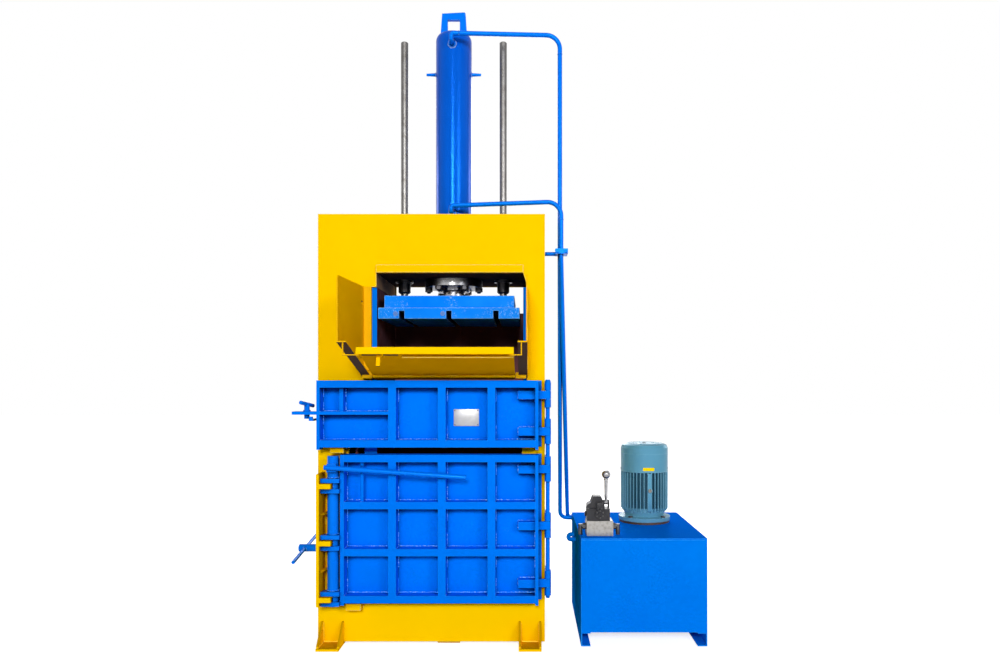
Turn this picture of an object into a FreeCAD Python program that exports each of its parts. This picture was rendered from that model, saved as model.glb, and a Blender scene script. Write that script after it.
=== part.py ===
"""Upright hydraulic baler for loose scrap, with its power pack beside it.

A plate frame stands on foot plates.  Its crown carries a long press cylinder, whose rod drives a
platen down into the chamber between two guide rods.  Loose material goes in over a hinged flap
between two hopper wings, and the finished bale leaves through two doors on one hinge rod.

Frame of the model: the origin is on the floor under the press axis.  +X is to the right as seen
from the doors, +Y is from the doors to the back, +Z is up.  Everything is in millimetres.
"""
import FreeCAD
import Part
import math
import os

V = FreeCAD.Vector
X_AXIS = V(1, 0, 0)
Y_AXIS = V(0, 1, 0)
Z_AXIS = V(0, 0, 1)

# ---------------------------------------------------------------- press frame
frame_width = 1200.0
frame_depth = 600.0
frame_top = 2272.0
press_offset = 90.0            # the press axis stands this far right of the frame's middle
sole_thickness = 12.0          # foot plates, which lift the frame's plates off the floor
plate_thickness = 16.0         # front and back plates
side_thickness = 12.0
bed_height = 235.0             # top of the chamber floor
bed_plate = 25.0
bed_web = 20.0
crown_drop = 311.0             # from the frame's top to the crown's underside
crown_flange = 35.0
crown_top_plate = 20.0
crown_web = 16.0
crown_web_spread = 340.0       # between the middles of the two webs
sole_width = 120.0
foot_width = 118.0
foot_inset = 20.0
foot_reach = 120.0             # how far a foot stands out in front of the frame
gusset_thickness = 10.0
gusset_height = 108.0

# ---------------------------------------------------------------- openings of the frame
door_top = 1391.0
door_frame_left = 162.0        # front plate left of the door opening
door_frame_right = 121.0       # front plate right of the door opening
wall_drop = 75.0               # the chamber's side walls end this far under the crown
window_margin_left = 26.0      # how far the feed window opens over the left wall's edge
window_margin_right = 19.0
window_corner = 65.0           # height of the sloped top right corner of the feed window
lip_height = 41.0
lip_thickness = 12.0
rest_block_inset = 4.0         # blocks that carry the doors' corners
rest_block_width = 77.0
rest_block_depth = 60.0
rest_block_height = 35.0
rest_block_drop = 11.0         # its top, below the lower door's bottom rail
upper_block_inset = 63.0       # from the upper door's left side
upper_block_width = 71.0
upper_block_height = 31.0
upper_block_drop = 0.5
rear_window_height = 161.0
rear_window_side = 4.0         # how far the rear window stays inside the side walls

# ---------------------------------------------------------------- bale chamber
platen_width = 750.0
platen_gap_left = 6.0
platen_gap_right = 21.0
platen_gap_front = 16.0
platen_gap_back = 10.0
wall_plate = 10.0              # skin of the releasable left wall
wall_box_depth = 66.0          # its upright boxes, behind the skin
wall_box_width = 44.0
wall_rib = 14.0
right_wall = 16.0
back_wall = 12.0
wall_clearance = 1.0
column_plate = 12.0            # inner plate of the left column
column_gap = 35.0              # from the releasable wall to that plate
liner_plate = 10.0
wear_strip_width = 36.0
wear_strip_thickness = 8.0
wear_strip_gap = 4.0           # its top, below the platen's raised face

# ---------------------------------------------------------------- platen and press cylinder
platen_drop = 241.0            # from the crown to the underside of the platen, drawn up
platen_plate = 58.0
platen_box_height = 67.0
platen_box_inset = 28.0
platen_box_wall = 16.0
strap_slot_width = 28.0
strap_slot_height = 42.0
strap_slot_pitch = 250.0
barrel_diameter = 202.0
barrel_wall = 18.0
barrel_top = 3345.0
barrel_shoulder = 24.0
barrel_shoulder_rise = 34.0
shoulder_steps = 5
barrel_cap = 40.0
port_bore = 14.0
mount_flange_diameter = 326.0
mount_flange_thickness = 46.0
flange_bolt_circle = 284.0
flange_bolts = 6
flange_nut = 20.0
flange_stud_end = 8.0
bolt_diameter = 24.0
gland_diameter = 182.0
gland_length = 22.0
gland_spigot = 60.0
rod_diameter = 125.0
rod_flange_diameter = 204.0
rod_flange_thickness = 30.0
piston_length = 90.0
fit_clearance = 0.05           # radial running clearance of rods, shafts and pins
peg_length = 54.0
peg_drop = 216.0               # stop pegs, below the barrel's top
peg_root = 20.0
peg_tip = 14.0
peg_depth = 6.0                # how deep a peg is let into the barrel
guide_diameter = 41.0
guide_spacing = 560.0
guide_drop = 33.0              # tops of the guide rods, below the barrel's top
bush_diameter = 69.0
bush_flange_diameter = 101.0
bush_flange_thickness = 14.0
bush_length = 62.0
bush_bolts = 4
bush_bolt_diameter = 8.0
eye_width = 132.0
eye_base_width = 150.0
eye_height = 127.0             # at its lower left corner
eye_rise = 7.0                 # the right corner stands higher
eye_corner = 8.0
eye_thickness = 25.0
eye_hole_width = 69.0
eye_hole_height = 78.0
eye_hole_bottom = 14.0

# ---------------------------------------------------------------- hopper and feed flap
hopper_reach = 440.0
wing_thickness = 6.0
wing_right_gap = 2.0
wing_flare = 31.0
wing_nose_rise = 178.0         # above the doors, where the front edge turns down its slope
wing_foot_rise = 15.0
wing_flange = 40.0
wing_flange_start = 42.0       # the flange starts this far in front of the frame
wing_corner = 12.0
wing_root_flange = 44.0
flap_width = 745.0
flap_left_inset = 18.0         # flap's left edge, left of the platen's edge
flap_length = 426.0
flap_plate = 5.0
flap_open_angle = 17.6         # above level, at rest on its tabs
flap_swing = 72.0
flap_lip = 35.0
flap_bar = 32.0
flap_pivot_reach = 20.0        # pivot in front of the frame
flap_pivot_rise = 27.0         # pivot above the doors
flap_pin = 16.0
flap_bolt = 16.0
flap_bolt_length = 190.0
flap_bolt_drop = 6.0
flap_bolt_start = 4.0
bolt_hole_room = 3.0
flap_guides = (8.0, 112.0)
flap_guide_thickness = 12.0
flap_grip_place = 91.0
flap_grip_width = 19.0
flap_grip_drop = 62.0
flap_side_gap = 4.0
flap_tab_width = 12.0
flap_tab_reach = 16.0
flap_tab_gap = 0.4
flap_rib = 22.0

# ---------------------------------------------------------------- doors
door_gap = 2.0                 # between a door's skin and the front plate
door_skin = 10.0
door_rib_depth = 76.0
door_rib_width = 40.0
door_rail = 37.0
door_edge = 16.0
door_rib_pitch = 257.0
door_middle_rib = 536.0        # the middle rib, left of the frame's right side
upper_door_inset = 16.0        # left sides of the doors, from the frame's left side
upper_door_bottom = 1044.5
lower_door_inset = 138.0
lower_door_top = 1005.4
lower_door_bottom = 238.6
lower_edge = 20.0
lower_door_bays = 3
door_skin_gap = 18.0           # doors' right sides, from the frame's right side
door_edge_gap = 36.0           # doors' right edge bars, from the frame's right side
edge_overhang = 12.0
ear_reach = 127.0
ear_drop = 169.0               # ear's middle, below the doors' top
ear_thickness = 16.0
ear_depth = 60.0
sub_rib_width = 20.0
sub_rib_inset = 114.0
pull_bar_diameter = 19.0
pull_bar_inset = 111.0
pull_bar_collar = 3.0

# ---------------------------------------------------------------- door hinge
hinge_outreach = 14.0          # hinge rod, right of the frame
hinge_reach = 30.0             # hinge rod in front of the frame
hinge_rod_diameter = 22.0
knuckle_diameter = 34.0
knuckle_length = 44.0
strap_height = 42.0
strap_thickness = 26.0
strap_inner_reach = 88.0
strap_arm = 17.0
hinge_gap = 1.0
rod_tip = 14.0
upper_strap_heights = (1316.0, 1125.0)
lower_strap_heights = (928.0, 633.0, 332.0)
hinge_lug = 14.0
hinge_lug_depth = 60.0

# ---------------------------------------------------------------- lower door lock
lock_shaft_diameter = 60.0
lock_shaft_outreach = 38.0     # lock shaft, left of the lower door
lock_shaft_reach = 74.0
lock_shaft_top = 1000.0
lock_shaft_bottom = 224.0
lock_bracket = 22.0
lock_bracket_tops = ((885.0, 832.0), (594.0, 537.5), (302.0, 249.6))
lock_lug = 25.0
lock_lug_length = 60.0
lock_lug_depth = 24.0
lock_plate_thickness = 15.0
lock_plate_depth = 130.0
lock_plate_top = 910.0
lock_plate_bottom = 230.0
lock_side_gap = 2.0
lock_bracket_reach = 96.0         # brackets, left of the lower door
lock_flat = 5.0                # the shaft's flats, right of its axis
lever_diameter = 25.0
lever_bore = 19.0
lever_length = 730.0
lever_droop = 4.0
lever_height = 944.0
lever_overhang = 37.0
lever_sink = 2.0               # how deep the lever is let into the shaft

# ---------------------------------------------------------------- upper door latch
latch_diameter = 28.0
latch_outreach = 41.0          # latch shaft, left of the frame's side
latch_rise = 46.0              # tee bar, above the ear's middle
latch_finger = 12.0
latch_finger_reach = 32.0
latch_bar_diameter = 20.0
latch_bar_length = 108.0
latch_bar_tilt = -10.0
latch_bar_turn = 20.0
latch_drop = 22.0
keeper_plate = 10.0
keeper_width = 24.0
keeper_length = 40.0

# ---------------------------------------------------------------- wall release screw
screw_height = 443.0
screw_diameter = 43.0
screw_outreach = 189.0
screw_thread_diameter = 30.0
screw_collar = 44.0
screw_collar_length = 8.0
boss_diameter = 64.0
boss_length = 30.0
thrust_cup_diameter = 60.0
thrust_cup_length = 24.0
tommy_diameter = 20.0
tommy_length = 460.0
tommy_tilt = 7.4
tommy_inset = 36.0             # tommy bar, from the screw's outer end

# ---------------------------------------------------------------- power pack
tank_gap = 188.0               # between the frame and the tank
tank_width = 661.0
tank_front = -340.0
tank_depth = 820.0
tank_bottom = 73.0
tank_top = 565.0
tank_wall = 5.0
tank_lid = 8.0
skid_width = 50.0
skid_wall = 6.0
motor_inset = 411.0            # motor's axis, from the tank's left side
motor_y = 182.0
motor_flange_diameter = 300.0
motor_flange_thickness = 20.0
adapter_thickness = 14.0
motor_body_diameter = 236.0
motor_fin_diameter = 275.0
motor_fins = 40
motor_fin_thickness = 4.0
motor_neck_height = 52.0       # top of the end shield, above the flange's underside
motor_fins_rise = 296.0        # top of the fins, above the tank
fan_cover_diameter = 275.0
fan_cover_rise = 460.0
fan_cover_wall = 4.0
motor_bolts = 4
motor_bolt_circle = 265.0
stator_wall = 14.0
motor_register = 60.0          # radius of the end shield's inner register
motor_bolt = 14.0
bolt_pocket = 28.0             # room for a spanner round each flange bolt
bolt_pocket_height = 30.0
shield_step = 6.0              # rise of the end shield's coned steps
shield_relief = 4.0            # how far the end shield stays inside or outside the body
fin_root = 3.0                 # how deep the fins are let into the body
fin_taper = 10.0
fin_taper_rise = 16.0
rotor_gap = 1.5
rotor_end_gap = 20.0           # between the rotor's core and the end shield
rotor_top_gap = 40.0           # between the rotor's core and the top of the housing
fan_blades = 8
fan_gap = 20.0                 # between the fan and its cover
fan_blade = 4.0
fan_blade_foot = 8.0
fan_hub_wall = 14.0
fan_hub_foot = 4.0
fan_drop = 30.0                # the shaft's end, below the cover's crown
fan_cover_shoulder = 26.0
fan_cover_rings = (28.0, 46.0, 64.0, 82.0)
fan_cover_slot = 8.0
fan_cover_spokes = 6
fan_cover_spoke = 14.0         # angle of a spoke
motor_shaft_diameter = 38.0
bearing_height = 18.0
bearing_drop = 24.0            # upper bearing's foot, below the top of the housing
pump_diameter = 150.0
pump_length = 180.0
pump_bell_wall = 12.0
pump_body_share = 0.7          # pump casting's width, as a share of its bell's
manifold_width = 141.0
manifold_depth = 110.0
manifold_height = 81.0
manifold_side_inset = 34.0
manifold_inset = 55.0
manifold_chamfer = 2.0
valve_rise = 209.0             # top of the valve, above the tank
valve_lever_diameter = 18.0
valve_ball = 46.0
valve_ball_rise = 322.0
valve_width = 122.0
valve_base_height = 62.0
valve_base_inset = 6.0
valve_side_inset = 2.0
valve_cap_place = 68.0
valve_cap_diameter = 48.0
valve_cap_height = 36.0
valve_cap_reach = 6.0
valve_cap_root = 10.0
pilot_width = 34.0
pilot_reach = 2.0
pilot_root = 24.0
pilot_foot = 58.0
pilot_drop = 30.0
# side view of the casting above its base: how far right of its left side, how far below its top
valve_crown = ((2.0, None), (96.0, None), (84.0, 18.0), (76.0, 0.0), (34.0, 0.0), (22.0, 34.0))
valve_shoulder = 22.0
valve_crown_inset = (20.0, 14.0)
lever_ear = 8.0
lever_ear_place = 13.0
lever_ear_depth = 24.0
lever_ear_foot = 40.0
lever_ear_top = 12.0
lever_pin = 10.0
lever_hub = 22.0
lever_hub_gap = 0.5
lever_neck_rise = 30.0         # height over which the lever's stem widens
lever_neck_share = 0.7
ball_root = 6.0                # how deep the stem goes into the ball
valve_lever_inset = 108.0      # lever, from the manifold's left side
valve_pivot_rise = 173.0
fitting_size = 30.0
fitting_reach = 30.0
fitting_height = 45.0          # above the tank
fitting_nut = 18.0
fitting_neck_diameter = 20.4
fitting_drop_diameter = 22.8
stub_inset = 455.0
stub_reach = 41.0
stub_drop = 97.0
stub_rise = 29.0
stub_bend = 14.0

# ---------------------------------------------------------------- pipes
pipe_diameter = 25.0
pipe_wall = 4.0
pipe_bend = 75.0
pipe_elbow = 15.0
pipe_port_drop = 32.0          # from a pipe's run down to its port on the barrel
pipe_reach = 59.0              # pipes' runs, in front of the barrel
pipe_drift = (30.0, -18.0)     # how far back each run leans on its way to the right
pipe_run_lean = (0.0, 17.5)    # how far each run rises on its way to the right
pipe_outreach = (86.0, 91.0)   # uprights, right of the frame's side
pipe_clamp_drop = 178.0        # below the frame's top
pipe_clamp_room = 9.0
pipe_clamp_reach = (28.0, 36.0)
clamp_stalk_drop = 9.0
pipe_clamp_thickness = 28.0
pipe_clamp_rod = 22.0
upper_run_drop = 52.0          # below the barrel's top
lower_run_rise = 77.0          # above the frame's top
pipe_slant_drop = 222.0        # where the pipes leave the upright, below the frame's top
pipe_inlet_drop = 20.0         # below the tank's top
pipe_inlet_places = (80.0, 45.0)   # from the tank's back
pipe_inlet_reach = (78.0, 30.0)
pipe_inlet_bends = (45.0, 21.0)
inlet_ring_diameter = 33.0
inlet_ring_length = 6.0
union_diameter = 40.0
socket_length = 9.5
socket_root = 8.0              # how far a socket reaches back round the barrel
socket_gap = 0.1
seat_gap = 0.3                 # between curved faces of different bodies

# ---------------------------------------------------------------- places worked out from the sizes
frame_left = -frame_width / 2 - press_offset
frame_right = frame_width / 2 - press_offset
front = -frame_depth / 2
back = frame_depth / 2
crown_underside = frame_top - crown_drop
wall_top = crown_underside - wall_drop
rear_window_bottom = crown_underside - rear_window_height
column_left = frame_left + side_thickness
column_right = frame_right - side_thickness
inner_front = front + plate_thickness
inner_back = back - plate_thickness

chamber_left = -platen_width / 2 - platen_gap_left
chamber_right = platen_width / 2 + platen_gap_right
chamber_back = inner_back - back_wall
window_left = chamber_left - window_margin_left
window_right = chamber_right + window_margin_right
door_opening_left = frame_left + door_frame_left
door_opening_right = frame_right - door_frame_right
wall_back_face = chamber_left - wall_box_depth
column_face = wall_back_face - column_gap

platen_face = crown_underside - platen_drop
platen_front = front + platen_gap_front
platen_back = chamber_back - platen_gap_back
platen_middle = (platen_front + platen_back) / 2
platen_box_bottom = platen_face + platen_plate
platen_top = platen_box_bottom + platen_box_height
barrel_radius = barrel_diameter / 2
flange_face = crown_underside - mount_flange_thickness
guide_top = barrel_top - guide_drop
peg_height = barrel_top - peg_drop
upper_run_height = barrel_top - upper_run_drop
lower_run_height = frame_top + lower_run_rise
run_heights = (upper_run_height, lower_run_height)

door_back = front - door_gap
door_skin_face = door_back - door_skin
door_face = door_skin_face - door_rib_depth
door_right = frame_right - door_skin_gap
door_edge_right = frame_right - door_edge_gap
upper_door_left = frame_left + upper_door_inset
lower_door_left = frame_left + lower_door_inset
hinge_place = frame_right + hinge_outreach
hinge_y = front - hinge_reach
lock_y = front - lock_shaft_reach
lock_shaft_place = lower_door_left - lock_shaft_outreach
lock_plate_right = lower_door_left - lock_side_gap
ear_height = door_top - ear_drop
ear_bottom = ear_height - ear_thickness / 2
ear_top = ear_height + ear_thickness / 2
ear_left = upper_door_left - ear_reach
latch_x = frame_left - latch_outreach
latch_top = ear_height + latch_rise
latch_y = door_face + ear_depth / 2
flap_pivot_y = front - flap_pivot_reach
flap_pivot_height = door_top + flap_pivot_rise
wing_nose = door_top + wing_nose_rise
wing_foot = door_top + wing_foot_rise
flap_left = -platen_width / 2 - flap_left_inset
flap_right = flap_left + flap_width
wing_front = front - hopper_reach
screw_tip = frame_left - screw_outreach
tank_left = frame_right + tank_gap
tank_right = tank_left + tank_width
tank_back = tank_front + tank_depth
motor_x = tank_left + motor_inset
motor_base = tank_top + adapter_thickness
motor_face = motor_base + motor_flange_thickness
motor_fins_top = tank_top + motor_fins_rise
fan_cover_top = tank_top + fan_cover_rise
manifold_left = tank_left + manifold_side_inset
manifold_front = tank_front + manifold_inset
manifold_middle = manifold_front + manifold_depth / 2
manifold_top = tank_top + manifold_height
valve_height = tank_top + valve_rise
valve_pivot = tank_top + valve_pivot_rise
valve_lever_x = manifold_left + valve_lever_inset
valve_ball_height = tank_top + valve_ball_rise


# ---------------------------------------------------------------- small building steps
def block(x0, x1, y0, y1, z0, z1):
    """A block between two corners."""
    return Part.makeBox(x1 - x0, y1 - y0, z1 - z0, V(x0, y0, z0))


def rod(radius, start, end):
    """A round bar between two points."""
    along = end.sub(start)
    return Part.makeCylinder(radius, along.Length, start, along)


def tube(outer, inner, start, end):
    """A round bar with a bore all the way through."""
    return rod(outer, start, end).cut(rod(inner, start, end))


def plate_xz(points, y0, y1):
    """A flat plate whose outline lies in the XZ plane."""
    wire = Part.makePolygon([V(x, y0, z) for x, z in points + points[:1]])
    return Part.Face(wire).extrude(V(0, y1 - y0, 0))


def plate_yz(points, x0, x1):
    """A flat plate whose outline lies in the YZ plane."""
    wire = Part.makePolygon([V(x0, y, z) for y, z in points + points[:1]])
    return Part.Face(wire).extrude(V(x1 - x0, 0, 0))


def plate_xy(points, z0, z1):
    """A flat plate whose outline lies in the XY plane."""
    wire = Part.makePolygon([V(x, y, z0) for x, y in points + points[:1]])
    return Part.Face(wire).extrude(V(0, 0, z1 - z0))


def joined(pieces):
    """One welded solid from pieces that meet."""
    first, *rest = pieces
    return first.fuse(rest).removeSplitter() if rest else first


def group(pieces):
    """Separate like pieces, kept together."""
    return Part.makeCompound(pieces)


def around(count, radius, start=0.0):
    """Evenly spaced places on a circle, as x and y."""
    for index in range(count):
        angle = math.radians(start) + 2 * math.pi * index / count
        yield radius * math.cos(angle), radius * math.sin(angle)


def turned(shape, point, axis, degrees):
    """The shape, turned about a line."""
    copy = shape.copy()
    copy.rotate(point, axis, degrees)
    return copy


def revolved(profile, centre):
    """A turned piece from its radius and height outline, about a vertical line."""
    points = [V(centre.x + r, centre.y, centre.z + h) for r, h in profile + profile[:1]]
    return Part.Face(Part.makePolygon(points)).revolve(centre, Z_AXIS, 360)


def bent_tube(points, radius, bends):
    """A pipe along straight runs joined by arcs, with one bend radius for each corner."""
    edges = []
    start = points[0]
    for before, corner, after, bend in zip(points, points[1:], points[2:], bends):
        into = corner.sub(before).normalize()
        out = after.sub(corner).normalize()
        half = into.getAngle(out) / 2
        reach = bend * math.tan(half)
        first = corner.sub(V(into).multiply(reach))
        last = corner.add(V(out).multiply(reach))
        inward = V(out).sub(into).normalize()
        middle = corner.add(inward.multiply(bend / math.cos(half) - bend))
        edges.append(Part.LineSegment(start, first).toShape())
        edges.append(Part.Arc(first, middle, last).toShape())
        start = last
    edges.append(Part.LineSegment(start, points[-1]).toShape())
    path = Part.Wire(edges)
    heading = points[1].sub(points[0])
    section = Part.Wire([Part.makeCircle(radius, points[0], heading)])
    return path.makePipeShell([section], True, True)


# ---------------------------------------------------------------- press frame
def front_plate():
    """One sheet with the feed window and the door opening cut out of it.

    A bar is welded along the window's top, and a block under each closed door's corner.
    """
    sheet = block(frame_left, frame_right, front, inner_front, sole_thickness, frame_top)
    corner_step = lip_height / 2
    opening = [
        (door_opening_left, bed_height),
        (door_opening_right, bed_height),
        (door_opening_right, door_top),
        (window_right, door_top),
        (window_right, crown_underside - window_corner),
        (window_right - corner_step, crown_underside),
        (chamber_left, crown_underside),
        (chamber_left, wall_top),
        (window_left, wall_top),
        (window_left, door_top),
        (door_opening_left, door_top),
    ]
    lip = block(chamber_left, window_right - corner_step, front - lip_thickness, front,
                crown_underside, crown_underside + lip_height)
    lower_rest = rest_block(lower_door_left + lower_edge + rest_block_inset, rest_block_width,
                            lower_door_bottom - rest_block_drop, rest_block_height)
    upper_rest = rest_block(upper_door_left + upper_block_inset, upper_block_width,
                            upper_door_bottom - upper_block_drop, upper_block_height)
    sheet = sheet.cut(plate_xz(opening, front - 1, inner_front + 1))
    return joined([sheet, lip, lower_rest, upper_rest])


def rest_block(left, width, top, height):
    """Block on the front plate, just under a closed door's bottom rail."""
    return block(left, left + width, front - rest_block_depth, front, top - height, top)


def back_plate():
    """Closed sheet with the rear window, through which a stuck bale is reached."""
    sheet = block(frame_left, frame_right, inner_back, back, sole_thickness, frame_top)
    hole = block(chamber_left + rear_window_side, chamber_right - rear_window_side,
                 inner_back - 1, back + 1, rear_window_bottom, crown_underside)
    return sheet.cut(hole)


def side_plate(x0, x1):
    """Outer side of a column."""
    return block(x0, x1, inner_front, inner_back, sole_thickness, frame_top)


def left_side_plate():
    """Outer side of the left column, with the release screw's threaded boss inside it."""
    start = V(frame_left, 0, screw_height)
    end = V(column_left + boss_length, 0, screw_height)
    boss = rod(boss_diameter / 2, start, end)
    hole = rod(screw_thread_diameter / 2 + fit_clearance, start, end)
    return joined([side_plate(frame_left, column_left), boss]).cut(hole)


def inner_column_plate():
    """Inner plate of the left column, behind the releasable wall."""
    sheet = block(column_face - column_plate, column_face, inner_front, inner_back,
                  bed_height, crown_underside)
    hole = rod(boss_diameter / 2 + 1, V(column_face - column_plate - 1, 0, screw_height),
               V(column_face + 1, 0, screw_height))
    return sheet.cut(hole)


def upper_liner():
    """Fixed lining above the releasable wall, level with its skin."""
    foot = wall_top + wall_clearance
    skin = block(chamber_left - liner_plate, chamber_left, inner_front, inner_back,
                 foot, crown_underside)
    shelf = block(column_face, chamber_left - liner_plate, inner_front, inner_back,
                  foot, foot + liner_plate)
    return joined([skin, shelf])


def crown_beam():
    """Welded box beam that carries the cylinder and the guide bushes."""
    low = block(column_left, column_right, inner_front, inner_back,
                crown_underside, crown_underside + crown_flange)
    high = block(column_left, column_right, inner_front, inner_back,
                 frame_top - crown_top_plate, frame_top)
    pieces = [low, high]
    half = crown_web / 2
    for side in (-1, 1):
        y = side * crown_web_spread / 2
        pieces.append(block(column_left, column_right, y - half, y + half,
                            crown_underside + crown_flange, frame_top - crown_top_plate))
        x = side * (guide_spacing / 2 + bush_flange_diameter)
        pieces.append(block(x - half, x + half, inner_front, inner_back,
                            crown_underside + crown_flange, frame_top - crown_top_plate))
    beam = joined(pieces)
    holes = [rod(barrel_radius + seat_gap, V(0, 0, crown_underside - 1), V(0, 0, frame_top + 1))]
    for side in (-1, 1):
        x = side * guide_spacing / 2
        holes.append(rod(guide_diameter / 2 + 3, V(x, 0, crown_underside - 1),
                         V(x, 0, frame_top + 1)))
    bolt_room = bush_bolt_diameter / 2 + seat_gap
    inside = crown_underside + crown_flange + 1
    holes += [rod(bolt_room, V(x, y, crown_underside - 1), V(x, y, inside))
              for x, y in bush_bolt_places()]
    return beam.cut(holes + flange_bolt_holes(crown_underside - 1, inside))


def bed_beam():
    """Chamber floor on its webs, with the middle sole."""
    pieces = [
        block(column_left, column_right, inner_front, inner_back,
              bed_height - bed_plate, bed_height),
        block(-sole_width / 2, sole_width / 2, inner_front, inner_back, 0, sole_thickness),
    ]
    half = bed_web / 2
    for x in (column_left + half, -sole_width / 2 + half, sole_width / 2 - half,
              column_right - half):
        pieces.append(block(x - half, x + half, inner_front, inner_back,
                            sole_thickness, bed_height - bed_plate))
    for y in (front / 2, -front / 2):
        pieces.append(block(column_left, column_right, y - half, y + half,
                            sole_thickness, bed_height - bed_plate))
    return joined(pieces)


def chamber_right_wall():
    """Fixed right wall, whose front edge shows in the feed window."""
    return block(chamber_right, chamber_right + right_wall, inner_front, chamber_back,
                 bed_height, wall_top)


def chamber_back_wall():
    """Back lining of the bale chamber."""
    return block(wall_back_face - wall_clearance, chamber_right + right_wall, chamber_back,
                 inner_back, bed_height, rear_window_bottom)


def wear_strip():
    """Bare steel strip down the middle of the back wall."""
    return block(-wear_strip_width / 2, wear_strip_width / 2,
                 chamber_back - wear_strip_thickness, chamber_back,
                 bed_height, platen_face - wear_strip_gap)


def foot(x0, x1, facing):
    """Foot plate that stands out of the frame, with a gusset along each edge."""
    edge = front if facing < 0 else back
    tip = edge + facing * foot_reach
    inner = edge - facing * plate_thickness * 4
    y0, y1 = sorted((tip, inner))
    pieces = [block(x0, x1, y0, y1, 0, sole_thickness)]
    high = sole_thickness + gusset_height
    nose = tip - facing * gusset_thickness
    outline = [(edge, sole_thickness), (nose, sole_thickness),
               (nose, sole_thickness + gusset_thickness), (edge + facing * gusset_thickness, high),
               (edge, high)]
    for x in (x0, x1 - gusset_thickness):
        pieces.append(plate_yz(outline, x, x + gusset_thickness))
    return joined(pieces)


def feet():
    """The four feet, one at each corner of the frame."""
    left = frame_left + foot_inset
    right = frame_right - foot_inset - foot_width
    return group([foot(x, x + foot_width, facing) for x in (left, right) for facing in (-1, 1)])


def flange_bolt_holes(z0, z1):
    """Clearance holes for the cylinder's flange studs."""
    radius = bolt_diameter / 2 + seat_gap
    places = around(flange_bolts, flange_bolt_circle / 2)
    return [rod(radius, V(x, y, z0), V(x, y, z1)) for x, y in places]


def bush_bolt_places():
    """Where the guide bushes' small bolts stand."""
    circle = (bush_diameter + bush_flange_diameter) / 4
    for side in (-1, 1):
        for x, y in around(bush_bolts, circle, 45):
            yield side * guide_spacing / 2 + x, y


def hexagon(across, z0, z1, x=0.0, y=0.0):
    """A hexagonal nut or bolt head about a vertical line."""
    corner = across / math.sqrt(3)
    points = [(x + dx, y + dy) for dx, dy in around(6, corner)]
    return plate_xy(points, z0, z1)


# ---------------------------------------------------------------- releasable left wall
def release_wall():
    """Left chamber wall on its ribs; backing it off frees a tight bale."""
    floor = bed_height + wall_clearance
    y0 = inner_front + wall_clearance
    y1 = chamber_back - wall_clearance
    skin_back = chamber_left - wall_plate
    pieces = [block(skin_back, chamber_left, y0, y1, floor, wall_top)]
    for start in (y0, y1 - wall_box_width):
        pieces.append(block(wall_back_face, skin_back, start, start + wall_box_width,
                            floor, wall_top))
    for z in (floor, screw_height - wall_rib / 2, lower_door_top - wall_rib,
              door_top - wall_rib, wall_top - wall_rib):
        pieces.append(block(wall_back_face, skin_back, y0, y1, z, z + wall_rib))
    half = thrust_cup_diameter / 2 + wall_rib
    pieces.append(block(wall_back_face, wall_back_face + wall_rib, -half, half,
                        screw_height - half, screw_height + half))
    return joined(pieces)


def along_x(profile, x0, height):
    """A turned piece about the release screw's line, from radius and length pairs."""
    points = [V(x0 + along, 0, height + r) for r, along in profile + profile[:1]]
    return Part.Face(Part.makePolygon(points)).revolve(V(x0, 0, height), X_AXIS, 360)


def thrust_cup():
    """Cup on the wall's back that traps the screw's collar, so that the screw can also pull."""
    bore = screw_thread_diameter / 2 + fit_clearance
    recess = screw_collar / 2 + fit_clearance
    room = screw_collar_length + seat_gap
    profile = [(bore, 0), (thrust_cup_diameter / 2, 0),
               (thrust_cup_diameter / 2, thrust_cup_length), (recess, thrust_cup_length),
               (recess, thrust_cup_length - room), (bore, thrust_cup_length - room)]
    return along_x(profile, wall_back_face - thrust_cup_length, screw_height)


def release_screw():
    """Screw with a plain head outside the frame and a collar at the wall."""
    head = screw_diameter / 2
    thread = screw_thread_diameter / 2
    head_length = screw_outreach - wall_clearance
    total = wall_back_face - seat_gap / 2 - screw_tip
    collar = screw_collar / 2
    collar_start = total - screw_collar_length
    profile = [(0, 0), (head - 3, 0), (head, 3), (head, head_length), (thread, head_length),
               (thread, collar_start), (collar, collar_start), (collar, total), (0, total)]
    screw = along_x(profile, screw_tip, screw_height)
    x = screw_tip + tommy_inset
    hole = rod(tommy_diameter / 2 + fit_clearance, V(x, -screw_diameter, screw_height),
               V(x, screw_diameter, screw_height))
    return screw.cut(turned(hole, V(x, 0, screw_height), X_AXIS, tommy_tilt))


def tommy_bar():
    """Loose bar through the screw's head, which turns it by hand."""
    x = screw_tip + tommy_inset
    half = tommy_length / 2
    bar = rod(tommy_diameter / 2, V(x, -half, screw_height), V(x, half, screw_height))
    return turned(bar, V(x, 0, screw_height), X_AXIS, tommy_tilt)


# ---------------------------------------------------------------- platen and press cylinder
def platen_plate_solid():
    """Thick pressing plate with strap slots from front to back."""
    plate = block(-platen_width / 2, platen_width / 2, platen_front, platen_back,
                  platen_face, platen_face + platen_plate)
    half = strap_slot_width / 2
    slots = [block(x - half, x + half, platen_front - 1, platen_back + 1,
                   platen_face - 1, platen_face + strap_slot_height)
             for x in (-strap_slot_pitch, 0, strap_slot_pitch)]
    return plate.cut(slots)


def platen_box():
    """Stiffening box on the plate, hollow between its ribs."""
    x1 = platen_width / 2 - platen_box_inset
    y0 = platen_front + platen_box_inset
    y1 = platen_back - platen_box_inset
    box = block(-x1, x1, y0, y1, platen_box_bottom, platen_top)
    wall = platen_box_wall
    rib = rod_flange_diameter / 2
    roof = platen_top - wall
    pockets = []
    for xa, xb in ((-x1 + wall, -rib - wall), (rib + wall, x1 - wall)):
        for ya, yb in ((y0 + wall, platen_middle - wall), (platen_middle + wall, y1 - wall)):
            pockets.append(block(xa, xb, ya, yb, platen_box_bottom - 1, roof))
    return box.cut(pockets)


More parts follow.
